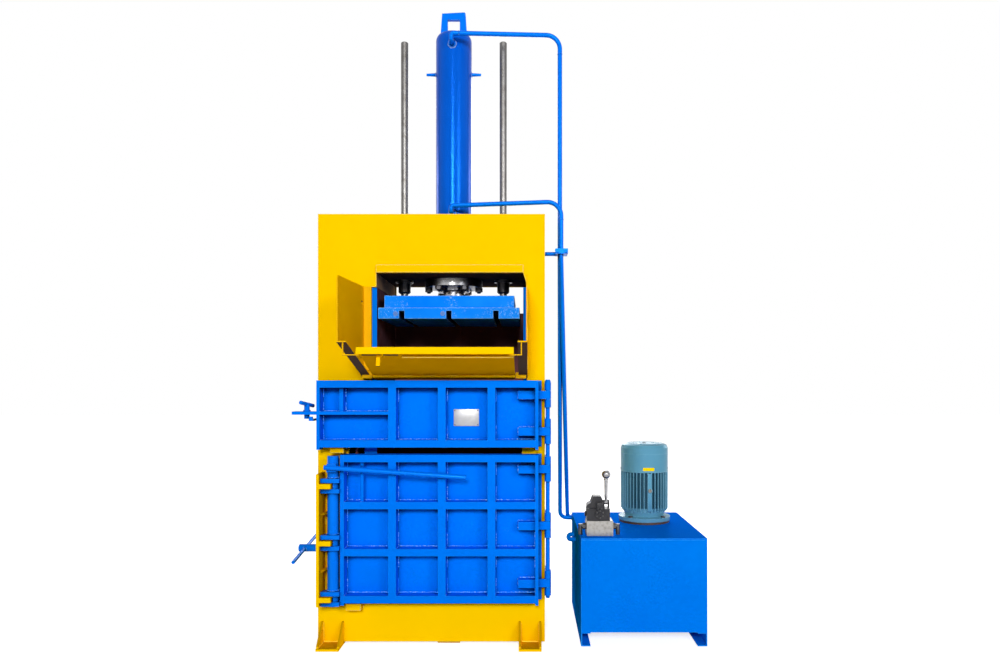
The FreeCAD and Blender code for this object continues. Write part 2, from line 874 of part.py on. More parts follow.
def guide_rods():
    """Two ground rods that keep the platen level."""
    chamfer = 4
    r = guide_diameter / 2
    height = guide_top - platen_top
    profile = [(0, 0), (r, 0), (r, height - chamfer), (r - chamfer, height), (0, height)]
    return group([revolved(profile, V(side * guide_spacing / 2, 0, platen_top))
                  for side in (-1, 1)])


def piston_rod():
    """Rod with its clamp flange on the platen and the piston inside the barrel."""
    r = rod_diameter / 2
    flange = rod_flange_diameter / 2
    bore = barrel_radius - barrel_wall - fit_clearance
    step = rod_flange_thickness * 0.55
    top = barrel_top - barrel_cap - seat_gap - platen_top
    profile = [(0, 0), (flange, 0), (flange, step), (flange - 10, step + 4),
               (flange - 10, rod_flange_thickness), (r, rod_flange_thickness),
               (r, top - piston_length), (bore, top - piston_length), (bore, top), (0, top)]
    return revolved(profile, V(0, 0, platen_top))


def cylinder_barrel():
    """Barrel with its rounded, closed end, two ports and the holes of the stop pegs."""
    bore = barrel_radius - barrel_wall
    top = barrel_top - flange_face
    profile = [(bore, 0), (barrel_radius, 0)]
    for step in range(shoulder_steps + 1):
        angle = math.pi / 2 * step / shoulder_steps
        profile.append((barrel_radius - barrel_shoulder * (1 - math.cos(angle)),
                        top - barrel_shoulder_rise * (1 - math.sin(angle))))
    profile += [(0, top), (0, top - barrel_cap), (bore, top - barrel_cap)]
    cuts = [rod(peg_root / 2, V(-barrel_radius, 0, peg_height),
                V(-barrel_radius + peg_depth, 0, peg_height)),
            rod(peg_root / 2, V(barrel_radius - peg_depth, 0, peg_height),
                V(barrel_radius, 0, peg_height))]
    for run_height in run_heights:
        z = run_height - pipe_port_drop
        cuts.append(rod(port_bore / 2, V(0, -barrel_radius - 1, z), V(0, -bore + 1, z)))
    return revolved(profile, V(0, 0, flange_face)).cut(cuts)


def cylinder_flange():
    """Ring shrunk onto the barrel's foot, which the studs draw up under the crown."""
    ring = tube(mount_flange_diameter / 2, barrel_radius, V(0, 0, flange_face),
                V(0, 0, crown_underside))
    return ring.cut(flange_bolt_holes(flange_face - 1, crown_underside + 1))


def stop_pegs():
    """Tapered pegs let into the barrel's sides."""
    pegs = []
    for side in (-1, 1):
        root = V(side * (barrel_radius - peg_depth), 0, peg_height)
        face = V(side * barrel_radius, 0, peg_height)
        shank = rod(peg_root / 2, root, face)
        cone = Part.makeCone(peg_root / 2, peg_tip / 2, peg_length, face, V(side, 0, 0))
        pegs.append(joined([shank, cone]))
    return group(pegs)


def cylinder_gland():
    """Gland that closes the barrel round the rod."""
    bore = rod_diameter / 2 + fit_clearance
    spigot = barrel_radius - barrel_wall - fit_clearance
    r = gland_diameter / 2
    profile = [(bore, 0), (r - 4, 0), (r, 4), (r, gland_length), (spigot, gland_length),
               (spigot, gland_length + gland_spigot), (bore, gland_length + gland_spigot)]
    return revolved(profile, V(0, 0, flange_face - gland_length))


def flange_studs():
    """Studs with nuts that hang the cylinder under the crown."""
    studs = []
    beam_seat = crown_underside + crown_flange
    for x, y in around(flange_bolts, flange_bolt_circle / 2):
        low = flange_face - flange_nut
        stud = rod(bolt_diameter / 2, V(x, y, low), V(x, y, beam_seat + flange_nut))
        tip = Part.makeCone(bolt_diameter / 3, bolt_diameter / 2, flange_stud_end,
                            V(x, y, low - flange_stud_end))
        across = bolt_diameter * 1.5
        studs.append(joined([stud, tip, hexagon(across, low, flange_face, x, y),
                             hexagon(across, beam_seat, beam_seat + flange_nut, x, y)]))
    return group(studs)


def guide_bushes():
    """Flanged bushes with tapered noses, under the crown."""
    bore = guide_diameter / 2 + fit_clearance
    body = bush_diameter / 2
    flange = bush_flange_diameter / 2
    total = bush_flange_thickness + bush_length
    taper = 8
    profile = [(bore, 0), (body - taper, 0), (body, taper), (body, bush_length),
               (flange, bush_length), (flange, total), (bore, total)]
    bushes = [revolved(profile, V(side * guide_spacing / 2, 0, crown_underside - total))
              for side in (-1, 1)]
    radius = bush_bolt_diameter / 2 + seat_gap
    holes = [rod(radius, V(px, py, crown_underside - total), V(px, py, crown_underside + 1))
             for px, py in bush_bolt_places()]
    return group([bush.cut(holes) for bush in bushes])


def bush_bolt_set():
    """Small bolts that hold the bushes' flanges to the crown."""
    bolts = []
    seat = crown_underside - bush_flange_thickness
    top = crown_underside + crown_flange
    head = bush_bolt_diameter * 0.65
    for x, y in bush_bolt_places():
        shank = rod(bush_bolt_diameter / 2, V(x, y, seat), V(x, y, top - 2))
        bolts.append(joined([shank, hexagon(bush_bolt_diameter * 1.7, seat - head, seat, x, y)]))
    return group(bolts)


def lifting_eye():
    """Plate with a square hole, welded on the barrel's end for the crane hook."""
    left_top = barrel_top + eye_height
    right_top = left_top + eye_rise
    outline = [(-eye_base_width / 2, barrel_top), (eye_base_width / 2, barrel_top),
               (eye_width / 2, right_top), (-eye_width / 2, left_top)]
    half = eye_thickness / 2
    plate = plate_xz(outline, -half, half)
    low = barrel_top + eye_hole_bottom
    hole = block(-eye_hole_width / 2, eye_hole_width / 2, -eye_thickness, eye_thickness,
                 low, low + eye_hole_height)
    corner = [e for e in plate.Edges
              if abs(e.CenterOfMass.z - right_top) < 0.1 and e.Length < eye_thickness + 1]
    return plate.makeFillet(eye_corner, corner).cut(hole)


# ---------------------------------------------------------------- pipes
def pipe_route(run_height, lane):
    """Corners of a pipe from its port on the barrel to the tank; lane 0 is the rear one."""
    y = -barrel_radius - pipe_reach
    port = run_height - pipe_port_drop
    corner = V(frame_right + pipe_outreach[lane], y + pipe_drift[lane],
               run_height + pipe_run_lean[lane])
    inlet = V(tank_left, tank_back - pipe_inlet_places[lane], tank_top - pipe_inlet_drop)
    return [V(0, -barrel_radius, port), V(0, y, port), V(0, y, run_height), corner,
            V(corner.x, corner.y, frame_top - pipe_slant_drop),
            inlet.sub(V(pipe_inlet_reach[lane], 0, 0)), inlet]


def pressure_pipe(run_height, lane):
    """Rigid hydraulic pipe, bent from one length."""
    points = pipe_route(run_height, lane)
    bends = [pipe_elbow, pipe_elbow, pipe_bend, pipe_bend, pipe_inlet_bends[lane]]
    outer = bent_tube(points, pipe_diameter / 2, bends)
    inner = bent_tube(points, pipe_diameter / 2 - pipe_wall, bends)
    return outer.cut(inner)


def pipe_unions():
    """Weld sockets on the barrel and rings where the pipes enter the tank."""
    pieces = []
    bore = pipe_diameter / 2 + seat_gap
    for lane, run_height in enumerate(run_heights):
        route = pipe_route(run_height, lane)
        port, inlet = route[0], route[-1]
        socket = tube(union_diameter / 2, bore, port.sub(V(0, socket_length, 0)),
                      port.add(V(0, socket_root, 0)))
        around_barrel = rod(barrel_radius + socket_gap, V(0, 0, port.z - union_diameter),
                            V(0, 0, port.z + union_diameter))
        pieces.append(socket.cut(around_barrel))
        pieces.append(tube(inlet_ring_diameter / 2, bore, inlet.sub(V(inlet_ring_length, 0, 0)),
                           inlet))
    return group(pieces)


def pipe_clamp():
    """Clamp on a stalk from the frame, round both pipes."""
    route = [pipe_route(height, lane)[4] for lane, height in enumerate(run_heights)]
    middle = frame_top - pipe_clamp_drop
    low = middle - pipe_clamp_thickness / 2
    high = middle + pipe_clamp_thickness / 2
    room = pipe_diameter / 2 + pipe_clamp_room
    x0 = min(p.x for p in route) - pipe_clamp_reach[0]
    x1 = max(p.x for p in route) + pipe_clamp_reach[1]
    y0 = min(p.y for p in route) - room
    y1 = max(p.y for p in route) + room
    jaw = block(x0, x1, y0, y1, low, high)
    y = (y0 + y1) / 2
    z = middle - clamp_stalk_drop
    stalk = rod(pipe_clamp_rod / 2, V(frame_right, y, z), V(x0 + pipe_clamp_room, y, z))
    holes = [rod(pipe_diameter / 2 + seat_gap, V(p.x, p.y, low - 1), V(p.x, p.y, high + 1))
             for p in route]
    return joined([jaw, stalk]).cut(holes)


# ---------------------------------------------------------------- hopper and feed flap
def wing_outline():
    """Side view of a hopper wing: upright nose, then a slope down to the frame."""
    return [(front, wing_foot), (front, wall_top), (wing_front + wing_corner, wall_top),
            (wing_front, wall_top - wing_corner), (wing_front, wing_nose)]


def leaning_plate(outline, x_root, flare, span):
    """A plate along a wing, which leans sideways with its reach in front of the frame."""
    slope = flare / hopper_reach
    points = [V(x_root + slope * (front - y), y, z) for y, z in outline]
    return Part.Face(Part.makePolygon(points + points[:1])).extrude(V(span, 0, 0))


def wing(x_root, side, flare):
    """One hopper wing with the flange along its slope; side is where the wing stands."""
    run = math.hypot(wing_nose - wing_foot, hopper_reach)
    drop = wing_thickness * run / hopper_reach
    start = (wing_nose - wing_foot) * wing_flange_start / hopper_reach
    strip = [(front - wing_flange_start, wing_foot + start),
             (front - wing_flange_start, wing_foot + start + drop),
             (wing_front, wing_nose + drop), (wing_front, wing_nose)]
    panel = leaning_plate(wing_outline(), x_root, flare, -side * wing_thickness)
    flange = leaning_plate(strip, x_root, flare, -side * (wing_thickness + wing_flange))
    return joined([panel, flange])


def left_wing():
    """Left wing, flaring outwards, with its root flange and the flap bolt's hole."""
    x_root = window_left - wing_root_flange
    shape = wing(x_root, -1, -wing_flare)
    root = block(x_root + wing_thickness / 2, window_left, front - wing_thickness, front,
                 wing_foot + wing_flange, wall_top)
    y, z = closed_bolt_place()
    hole = rod(flap_bolt / 2 + bolt_hole_room, V(x_root - wing_flare, y, z),
               V(x_root + wing_flange, y, z))
    face = x_root + wing_thickness
    tab = flap_rest_tab(face - wing_flare + wing_flange / 2, flap_left + flap_tab_reach)
    pin = flap_hinge_pin(flap_left, -1, face - wing_thickness / 2)
    return joined([shape, root, tab, pin]).cut(hole)


def right_wing():
    """Right wing, square to the frame."""
    x_root = window_right + wing_right_gap
    face = x_root - wing_thickness
    tab = flap_rest_tab(face - wing_flange / 2, flap_right - flap_tab_reach)
    return joined([wing(x_root, 1, 0.0), tab, flap_hinge_pin(flap_right, 1, face)])


def flap_pose(shape, degrees=flap_open_angle):
    """Turn a shape made level about the flap's pivot up to its open angle."""
    return turned(shape, V(0, flap_pivot_y, flap_pivot_height), X_AXIS, -degrees)


def flap_bolt_level():
    """Depth and height of the flap bolt's line, with the flap level."""
    return (flap_pivot_y - flap_length + 2 * flap_rib,
            flap_pivot_height - flap_plate - flap_bolt / 2 - flap_bolt_drop)


def closed_bolt_place():
    """Depth and height of the flap bolt's line, with the flap swung shut."""
    y, z = flap_bolt_level()
    angle = math.radians(flap_open_angle + flap_swing)
    dy, dz = y - flap_pivot_y, z - flap_pivot_height
    return (flap_pivot_y + dy * math.cos(angle) + dz * math.sin(angle),
            flap_pivot_height - dy * math.sin(angle) + dz * math.cos(angle))


def feed_flap():
    """Folded flap with its lip, stiffening rib, hinge bar and bolt guides."""
    top = flap_pivot_height
    tip = flap_pivot_y - flap_length
    bar = flap_bar / 2
    y_bolt, z_bolt = flap_bolt_level()
    pieces = [
        block(flap_left, flap_right, tip, flap_pivot_y, top - flap_plate, top),
        block(flap_left, flap_right, tip, tip + flap_plate, top - flap_lip, top),
        block(flap_left, flap_right, flap_pivot_y - bar, flap_pivot_y + bar, top - bar, top + bar),
        block(flap_left + flap_bolt_length + flap_rib, flap_right, y_bolt - flap_plate / 2,
              y_bolt + flap_plate / 2, top - flap_plate - flap_rib, top - flap_plate),
    ]
    half = flap_bolt
    for x in flap_guides:
        x0 = flap_left + x
        pieces.append(block(x0, x0 + flap_guide_thickness, y_bolt - half, y_bolt + half,
                            z_bolt - half, top - flap_plate))
    flap = joined(pieces)
    bore = flap_bolt / 2 + fit_clearance
    holes = [rod(bore, V(flap_left - 1, y_bolt, z_bolt),
                 V(flap_left + flap_bolt_length + flap_rib, y_bolt, z_bolt)),
             rod(flap_pin / 2 + fit_clearance, V(flap_left - 1, flap_pivot_y, top),
                 V(flap_left + flap_pin * 3, flap_pivot_y, top)),
             rod(flap_pin / 2 + fit_clearance, V(flap_right - flap_pin * 3, flap_pivot_y, top),
                 V(flap_right + 1, flap_pivot_y, top))]
    return flap_pose(flap.cut(holes))


def flap_bolt_rod():
    """Sliding bolt with the flat handle that hangs from it."""
    y, z = flap_bolt_level()
    x0 = flap_left + flap_bolt_start
    bar = rod(flap_bolt / 2, V(x0, y, z), V(x0 + flap_bolt_length, y, z))
    grip = flap_left + flap_grip_place
    handle = block(grip, grip + flap_grip_width, y - 4, y + 4, z - flap_grip_drop, z)
    return flap_pose(joined([bar, handle]))


def flap_hinge_pin(edge, side, wing_face):
    """Fixed pin on its lug inside a wing, on which the flap turns."""
    z = flap_pivot_height
    x0, x1 = sorted((edge + side * flap_side_gap, wing_face))
    lug = block(x0, x1, flap_pivot_y - flap_pin, front, z - flap_pin, z + flap_pin)
    tip = V(edge - side * flap_pin * 2.5, flap_pivot_y, z)
    return joined([lug, rod(flap_pin / 2, tip, V(wing_face, flap_pivot_y, z))])


def flap_rest_tab(hung, end):
    """Tab under a wing's flange that carries the open flap's lip."""
    angle = math.radians(flap_open_angle)
    reach = flap_length - flap_plate / 2
    y = flap_pivot_y - reach * math.cos(angle) - flap_lip * math.sin(angle)
    top = (flap_pivot_height + (flap_length - flap_plate) * math.sin(angle)
           - flap_lip * math.cos(angle) - flap_tab_gap)
    half = flap_tab_width / 2
    slope = (wing_nose - wing_foot) / hopper_reach
    under = wing_foot + slope * (front - y - half) + wing_thickness / 2
    x0, x1 = sorted((hung, end))
    xa, xb = sorted((hung, hung + math.copysign(flap_plate, end - hung)))
    return joined([block(x0, x1, y - half, y + half, top - flap_plate, top),
                   block(xa, xb, y - half, y + half, top - flap_plate, under)])


# ---------------------------------------------------------------- doors
def door_grid(bottom, top, left, rails):
    """Upright box ribs on a door's front and the rails between them, as separate bars."""
    half = door_rib_width / 2
    middle = frame_right - door_middle_rib
    bars = []
    start = left
    for step in (-1, 0, 1):
        x = middle + step * door_rib_pitch
        bars.append(grid_bar(x - half, x + half, bottom, top))
        bars += [grid_bar(start, x - half, z, z + door_rail) for z in rails]
        start = x + half
    end = door_edge_right - door_edge
    bars += [grid_bar(start, end, z, z + door_rail) for z in rails]
    return bars


def grid_bar(x0, x1, z0, z1):
    """A bar as deep as the door's ribs, on its skin."""
    return block(x0, x1, door_face, door_skin_face, z0, z1)


def door_shell(left, edge, bottom, top, strap_heights):
    """A door's skin with the bars along its sides and its hinge straps."""
    low = bottom - edge_overhang
    pieces = [block(left, door_right, door_skin_face, door_back, bottom, top),
              grid_bar(left, left + edge, low, top),
              grid_bar(door_edge_right - door_edge, door_edge_right, low, top)]
    return pieces + hinge_straps(strap_heights)


def upper_door():
    """Upper door with the long ear that serves as its handle and carries its latch."""
    shell = door_shell(upper_door_left, door_edge, upper_door_bottom, door_top,
                       upper_strap_heights)
    ear = block(ear_left, upper_door_left, door_face, door_face + ear_depth, ear_bottom, ear_top)
    hole = rod(latch_diameter / 2 + fit_clearance, V(latch_x, latch_y, ear_bottom - 1),
               V(latch_x, latch_y, ear_top + 1))
    return joined(shell + [ear]).cut(hole)


def upper_door_grid():
    """Ribs and rails of the upper door, with the ear's root and the short rib over it."""
    inner = upper_door_left + door_edge
    rails = (upper_door_bottom, door_top - door_rail)
    bars = door_grid(upper_door_bottom, door_top, inner, rails)
    first_rib = frame_right - door_middle_rib - door_rib_pitch - door_rib_width / 2
    bars.append(grid_bar(inner, first_rib, ear_bottom, ear_top))
    rib_left = upper_door_left + sub_rib_inset
    bars.append(block(rib_left, rib_left + sub_rib_width, door_face + sub_rib_width,
                      door_skin_face, ear_top, door_top - door_rail))
    return group(bars)


def lower_door():
    """Lower door: skin, side bars and straps."""
    return joined(door_shell(lower_door_left, lower_edge, lower_door_bottom, lower_door_top,
                             lower_strap_heights))


def lower_door_rails():
    """Undersides of the lower door's rails."""
    pitch = (lower_door_top - lower_door_bottom - door_rail) / lower_door_bays
    return [lower_door_bottom + index * pitch for index in range(lower_door_bays + 1)]


def lower_door_grid():
    """Ribs and rails of the lower door, with its pull bar in the first bay."""
    bars = door_grid(lower_door_bottom, lower_door_top, lower_door_left + lower_edge,
                     lower_door_rails())
    return group(bars + [pull_bar()])


def pull_bar():
    """Round bar to pull the lower door by, between two rails of its first bay."""
    low = lower_door_rails()[-2] + door_rail
    high = lower_door_rails()[-1]
    r = pull_bar_diameter / 2
    wide = r + pull_bar_collar
    shoulder = high - low - pull_bar_diameter
    profile = [(0, 0), (r, 0), (r, shoulder), (wide, shoulder), (wide, high - low),
               (0, high - low)]
    return revolved(profile, V(lower_door_left + pull_bar_inset,
                               door_face + pull_bar_diameter, low))


def hinge_strap(height):
    """Strap from inside a door's last bay, through its edge bar, round the hinge rod."""
    half = strap_height / 2
    knuckle = knuckle_diameter / 2
    edge_in = door_edge_right - door_edge
    low, high = height - half, height + half
    inner = block(edge_in - strap_inner_reach, edge_in, door_face + strap_thickness,
                  door_skin_face, low, high)
    arm = block(door_edge_right, hinge_place, hinge_y - strap_arm, hinge_y, low, high)
    wrap = rod(knuckle, V(hinge_place, hinge_y, low), V(hinge_place, hinge_y, high))
    bore = rod(hinge_rod_diameter / 2 + fit_clearance, V(hinge_place, hinge_y, low - 1),
               V(hinge_place, hinge_y, high + 1))
    outer = joined([arm, wrap]).cut(bore)
    return [inner, outer]


def hinge_straps(heights):
    """All the pieces of one door's straps."""
    return [piece for height in heights for piece in hinge_strap(height)]


def hinge_knuckles():
    """Fixed tubes above and below every strap, each on its lug."""
    pieces = []
    reach = knuckle_diameter / 2
    for height in upper_strap_heights + lower_strap_heights:
        for side in (-1, 1):
            near = height + side * (strap_height / 2 + hinge_gap)
            far = near + side * knuckle_length
            low, high = sorted((near, far))
            wrap = rod(reach, V(hinge_place, hinge_y, low), V(hinge_place, hinge_y, high))
            lug = block(frame_right, frame_right + hinge_lug, hinge_y, front + hinge_lug_depth,
                        low, high)
            bore = rod(hinge_rod_diameter / 2 + fit_clearance, V(hinge_place, hinge_y, low - 1),
                       V(hinge_place, hinge_y, high + 1))
            pieces.append(joined([wrap, lug]).cut(bore))
    return group(pieces)


def hinge_rod():
    """One long rod through every knuckle and strap, with a head at the top."""
    half = strap_height / 2 + hinge_gap + knuckle_length
    low = min(lower_strap_heights) - half - rod_tip
    high = max(upper_strap_heights) + half
    r = hinge_rod_diameter / 2
    span = high - low
    profile = [(0, 0), (r - 3, 0), (r, 5), (r, span), (r + 4, span), (r + 4, span + 6),
               (r, span + rod_tip), (0, span + rod_tip)]
    return revolved(profile, V(hinge_place, hinge_y, low))


# ---------------------------------------------------------------- lower door lock
def lock_plate():
    """Plate on the frame's left front with the three lugs that hold the lock shaft."""
    right = lock_plate_right - lock_bracket_reach
    left = right - lock_plate_thickness
    tip = front - lock_plate_depth
    pieces = [block(left, right, tip, front, lock_plate_bottom, lock_plate_top)]
    for upper, lower in lock_bracket_tops:
        middle = (upper - lock_bracket + lower) / 2
        pieces.append(block(right, right + lock_lug_length, tip, tip + lock_lug_depth,
                            middle - lock_lug / 2, middle + lock_lug / 2))
    for (_, above), (below, _) in zip(lock_bracket_tops, lock_bracket_tops[1:]):
        z = (above + below) / 2 - lock_bracket
        outline = [(right, front), (right, front - lock_plate_depth * 0.7), (right + 30, front)]
        pieces.append(plate_xy(outline, z, z + gusset_thickness))
    return joined(pieces)


def lock_brackets():
    """Pairs of plates on the lower door that carry the lock shaft."""
    pieces = []
    left = lock_plate_right - lock_bracket_reach + lock_side_gap
    y0 = lock_y - lock_shaft_diameter / 2 - 6
    outline = [(lower_door_left, door_skin_face), (lower_door_left, y0), (left, y0),
               (left, y0 + lock_shaft_diameter / 3), (left + 42, door_skin_face)]
    for tops in lock_bracket_tops:
        for top in tops:
            plate = plate_xy(outline, top - lock_bracket, top)
            bore = rod(lock_shaft_diameter / 2 + fit_clearance,
                       V(lock_shaft_place, lock_y, top - lock_bracket - 1),
                       V(lock_shaft_place, lock_y, top + 1))
            pieces.append(plate.cut(bore))
    return group(pieces)


def lock_shaft():
    """Round shaft with its long lever, cut to a flat where it passes each lug."""
    r = lock_shaft_diameter / 2
    shaft = rod(r, V(lock_shaft_place, lock_y, lock_shaft_bottom),
                V(lock_shaft_place, lock_y, lock_shaft_top))
    cuts = []
    for upper, lower in lock_bracket_tops:
        cuts.append(block(lock_shaft_place - r - 1, lock_shaft_place + lock_flat, lock_y - r - 1,
                          lock_y + r + 1, lower + 0.5, upper - lock_bracket - 0.5))
    return joined([shaft.cut(cuts), lock_lever()])


def lock_lever():
    """Open-ended tube across the door's front, sunk into the pad that joins it to the shaft."""
    y = lock_y - lock_shaft_diameter / 2 - lever_diameter / 2 + lever_sink
    start = V(lock_shaft_place - lever_overhang, y, lever_height)
    droop = math.radians(lever_droop)
    end = start.add(V(lever_length * math.cos(droop), 0, -lever_length * math.sin(droop)))
    pad = block(lock_shaft_place - lever_diameter, lock_shaft_place + lever_diameter,
                y - lever_sink, lock_y - lock_shaft_diameter / 2 + 8,
                lever_height - lever_diameter, lever_height + lever_diameter * 0.7)
    return joined([rod(lever_diameter / 2, start, end), pad]).cut(rod(lever_bore / 2, start, end))


# ---------------------------------------------------------------- upper door latch
def upper_latch():
    """Turning shaft in the ear, with a slanted tee on top and a finger below."""
    bottom = ear_bottom - latch_drop
    r = latch_diameter / 2
    shaft = rod(r, V(latch_x, latch_y, bottom), V(latch_x, latch_y, latch_top))
    half = latch_bar_length / 2
    bar = rod(latch_bar_diameter / 2, V(latch_x, latch_y - half, latch_top),
              V(latch_x, latch_y + half, latch_top))
    centre = V(latch_x, latch_y, latch_top)
    bar = turned(turned(bar, centre, X_AXIS, latch_bar_tilt), centre, Z_AXIS, -latch_bar_turn)
    finger = block(latch_x - latch_finger / 2, latch_x + latch_finger / 2, latch_y,
                   latch_y + latch_finger_reach, bottom, bottom + latch_finger)
    collar = tube(r + 5, r - 1, V(latch_x, latch_y, ear_top + seat_gap),
                  V(latch_x, latch_y, ear_top + 8))
    return joined([shaft, bar, finger, collar])


def latch_keeper():
    """Hooked plate on the frame's side, behind whose upturned end the finger turns."""
    bottom = ear_bottom - latch_drop
    x0 = frame_left - keeper_width
    tip = latch_y - latch_diameter
    low = bottom - seat_gap * 2 - keeper_plate
    shelf = block(x0, frame_left, tip, front + keeper_length, low, low + keeper_plate)
    hook = block(x0, x0 + keeper_width - 4, tip, tip + keeper_plate, low, bottom + latch_finger)
    return joined([shelf, hook])


# ---------------------------------------------------------------- power pack
def tank():
    """Welded oil tank, open at the top, with its skids and the bent stub on its side."""
    shell = block(tank_left, tank_right, tank_front, tank_back, tank_bottom, tank_top - tank_lid)
    inside = block(tank_left + tank_wall, tank_right - tank_wall, tank_front + tank_wall,
                   tank_back - tank_wall, tank_bottom + tank_wall, tank_top)
    return joined([shell.cut(inside), tank_return_stub()] + tank_skids())


def tank_skids():
    """Folded channel skids under the tank's sides, open inwards."""
    pieces = []
    for x0, x1, web in ((tank_left, tank_left + skid_width, tank_left),
                        (tank_right - skid_width, tank_right, tank_right - skid_wall)):
        outer = block(x0, x1, tank_front, tank_back, 0, tank_bottom)
        inner_x0 = x0 + skid_wall if web == x0 else x0 - 1
        inner_x1 = x1 + 1 if web == x0 else x1 - skid_wall
        pieces.append(outer.cut(block(inner_x0, inner_x1, tank_front - 1, tank_back + 1,
                                      skid_wall, tank_bottom - skid_wall)))
    return pieces


def tank_lid_plate():
    """Lid with the hole that the pump hangs through."""
    lid = block(tank_left, tank_right, tank_front, tank_back, tank_top - tank_lid, tank_top)
    return lid.cut(rod(pump_diameter / 2 + seat_gap, V(motor_x, motor_y, tank_top - tank_lid - 1),
                       V(motor_x, motor_y, tank_top + 1)))


def tank_return_stub():
    """Bent stub on the tank's left side."""
    y = tank_front + stub_inset
    x = tank_left - stub_reach
    low = tank_top - stub_drop
    points = [V(tank_left, y, low), V(x, y, low), V(x, y, low + stub_rise),
              V(x + stub_reach * 0.8, y, low + stub_rise)]
    body = bent_tube(points, pipe_diameter / 2, [stub_bend, stub_bend])
    return body.cut(bent_tube(points, pipe_diameter / 2 - pipe_wall, [stub_bend, stub_bend]))


def motor_adapter():
    """Dark ring between the tank's lid and the motor's flange."""
    return tube(motor_flange_diameter / 2 - 4, pump_diameter / 2 + seat_gap,
                V(motor_x, motor_y, tank_top), V(motor_x, motor_y, motor_base))


def motor_body():
    """Finned motor housing with its flanged end shield, open inside for the rotor."""
    flange = motor_flange_diameter / 2
    body = motor_body_diameter / 2
    neck = motor_base + motor_neck_height
    top = motor_fins_top - motor_base
    step = motor_flange_thickness
    floor = step + stator_wall
    bore = body - stator_wall
    profile = [(motor_register, 0), (flange, 0), (flange, step),
               (body - shield_relief, step + shield_step),
               (body + shield_relief, motor_neck_height),
               (body, motor_neck_height + shield_step), (body, top),
               (bore, top), (bore, floor), (motor_register, floor)]
    housing = revolved(profile, V(motor_x, motor_y, motor_base))
    fins = []
    root = body - fin_root
    tip = motor_fin_diameter / 2
    half = motor_fin_thickness / 2
    outline = [(root, neck), (tip - fin_taper, neck), (tip, neck + fin_taper_rise),
               (tip, motor_fins_top), (root, motor_fins_top)]
    for index in range(motor_fins):
        fin = plate_xz([(motor_x + x, z) for x, z in outline], motor_y - half, motor_y + half)
        fins.append(turned(fin, V(motor_x, motor_y, 0), Z_AXIS, index * 360 / motor_fins))
    pockets = []
    for x, y in motor_bolt_places():
        pockets.append(rod(bolt_pocket / 2, V(x, y, motor_face),
                           V(x, y, motor_face + bolt_pocket_height)))
        pockets.append(rod(motor_bolt / 2 + seat_gap, V(x, y, motor_base - 1),
                           V(x, y, motor_face + 1)))
    return joined([housing] + fins).cut(pockets)


def motor_bolt_places():
    """Where the motor's flange bolts stand."""
    for dx, dy in around(motor_bolts, motor_bolt_circle / 2, 45):
        yield motor_x + dx, motor_y + dy


def motor_bolt_set():
    """Bolts through the motor's flange."""
    bolts = []
    head = motor_bolt * 0.65
    for x, y in motor_bolt_places():
        shank = rod(motor_bolt / 2, V(x, y, motor_base), V(x, y, motor_face))
        cap = hexagon(motor_bolt * 1.6, motor_face, motor_face + head, x, y)
        bolts.append(joined([shank, cap]))
    return group(bolts)


def fan_cover():
    """Pressed cover over the fan, with an inlet grille in its crown."""
    r = fan_cover_diameter / 2
    top = fan_cover_top - motor_fins_top
    wall = fan_cover_wall
    inner = r - wall
    shoulder = fan_cover_shoulder
    bulge = shoulder * 0.3
    profile = [(inner, 0), (r, 0), (r, top - shoulder), (r - bulge, top - bulge),
               (r - shoulder, top), (0, top), (0, top - wall), (r - shoulder, top - wall),
               (inner - bulge, top - bulge - wall), (inner, top - shoulder)]
    cover = revolved(profile, V(motor_x, motor_y, motor_fins_top))
    low = V(motor_x, motor_y, fan_cover_top - wall * 2)
    pitch = 360 / fan_cover_spokes
    slots = []
    for ring in fan_cover_rings:
        outer = Part.makeCylinder(ring + fan_cover_slot, wall * 3, low, Z_AXIS,
                                  pitch - fan_cover_spoke)
        sector = outer.cut(Part.makeCylinder(ring, wall * 3, low))
        slots += [turned(sector, low, Z_AXIS, index * pitch)
                  for index in range(fan_cover_spokes)]
    return cover.cut(slots)


def motor_rotor():
    """Rotor on its shaft, with the fan above and the pump drive below."""
    shaft = motor_shaft_diameter / 2
    core = motor_body_diameter / 2 - stator_wall - rotor_gap
    low = tank_top - pump_length / 2
    foot = motor_face + stator_wall + rotor_end_gap
    core_top = motor_fins_top - rotor_top_gap
    top = fan_cover_top - fan_cover_wall - fan_drop
    profile = [(0, low), (shaft / 2, low), (shaft / 2, tank_top), (shaft, tank_top),
               (shaft, foot), (core, foot), (core, core_top), (shaft, core_top), (shaft, top),
               (0, top)]
    centre = V(motor_x, motor_y, 0)
    rotor = revolved(profile, centre)
    tip = fan_cover_diameter / 2 - fan_cover_wall - fan_gap
    half = fan_blade / 2
    blade = block(motor_x + shaft - 1, motor_x + tip, motor_y - half, motor_y + half,
                  motor_fins_top + fan_blade_foot, top - fan_blade_foot - fan_blade)
    blades = [turned(blade, centre, Z_AXIS, index * 360 / fan_blades)
              for index in range(fan_blades)]
    hub = rod(shaft + fan_hub_wall, V(motor_x, motor_y, motor_fins_top + fan_hub_foot),
              V(motor_x, motor_y, top - fan_blade_foot))
    return joined([rotor, hub] + blades)


def motor_bearings():
    """Bearing rings that carry the rotor in the end shield and in the top bridge."""
    shaft = motor_shaft_diameter / 2 + fit_clearance
    bore = motor_body_diameter / 2 - stator_wall
    foot = motor_fins_top - bearing_drop
    low = tube(motor_register, shaft, V(motor_x, motor_y, motor_base),
               V(motor_x, motor_y, motor_face + stator_wall))
    high = tube(bore, shaft, V(motor_x, motor_y, foot),
                V(motor_x, motor_y, foot + bearing_height))
    return group([low, high])


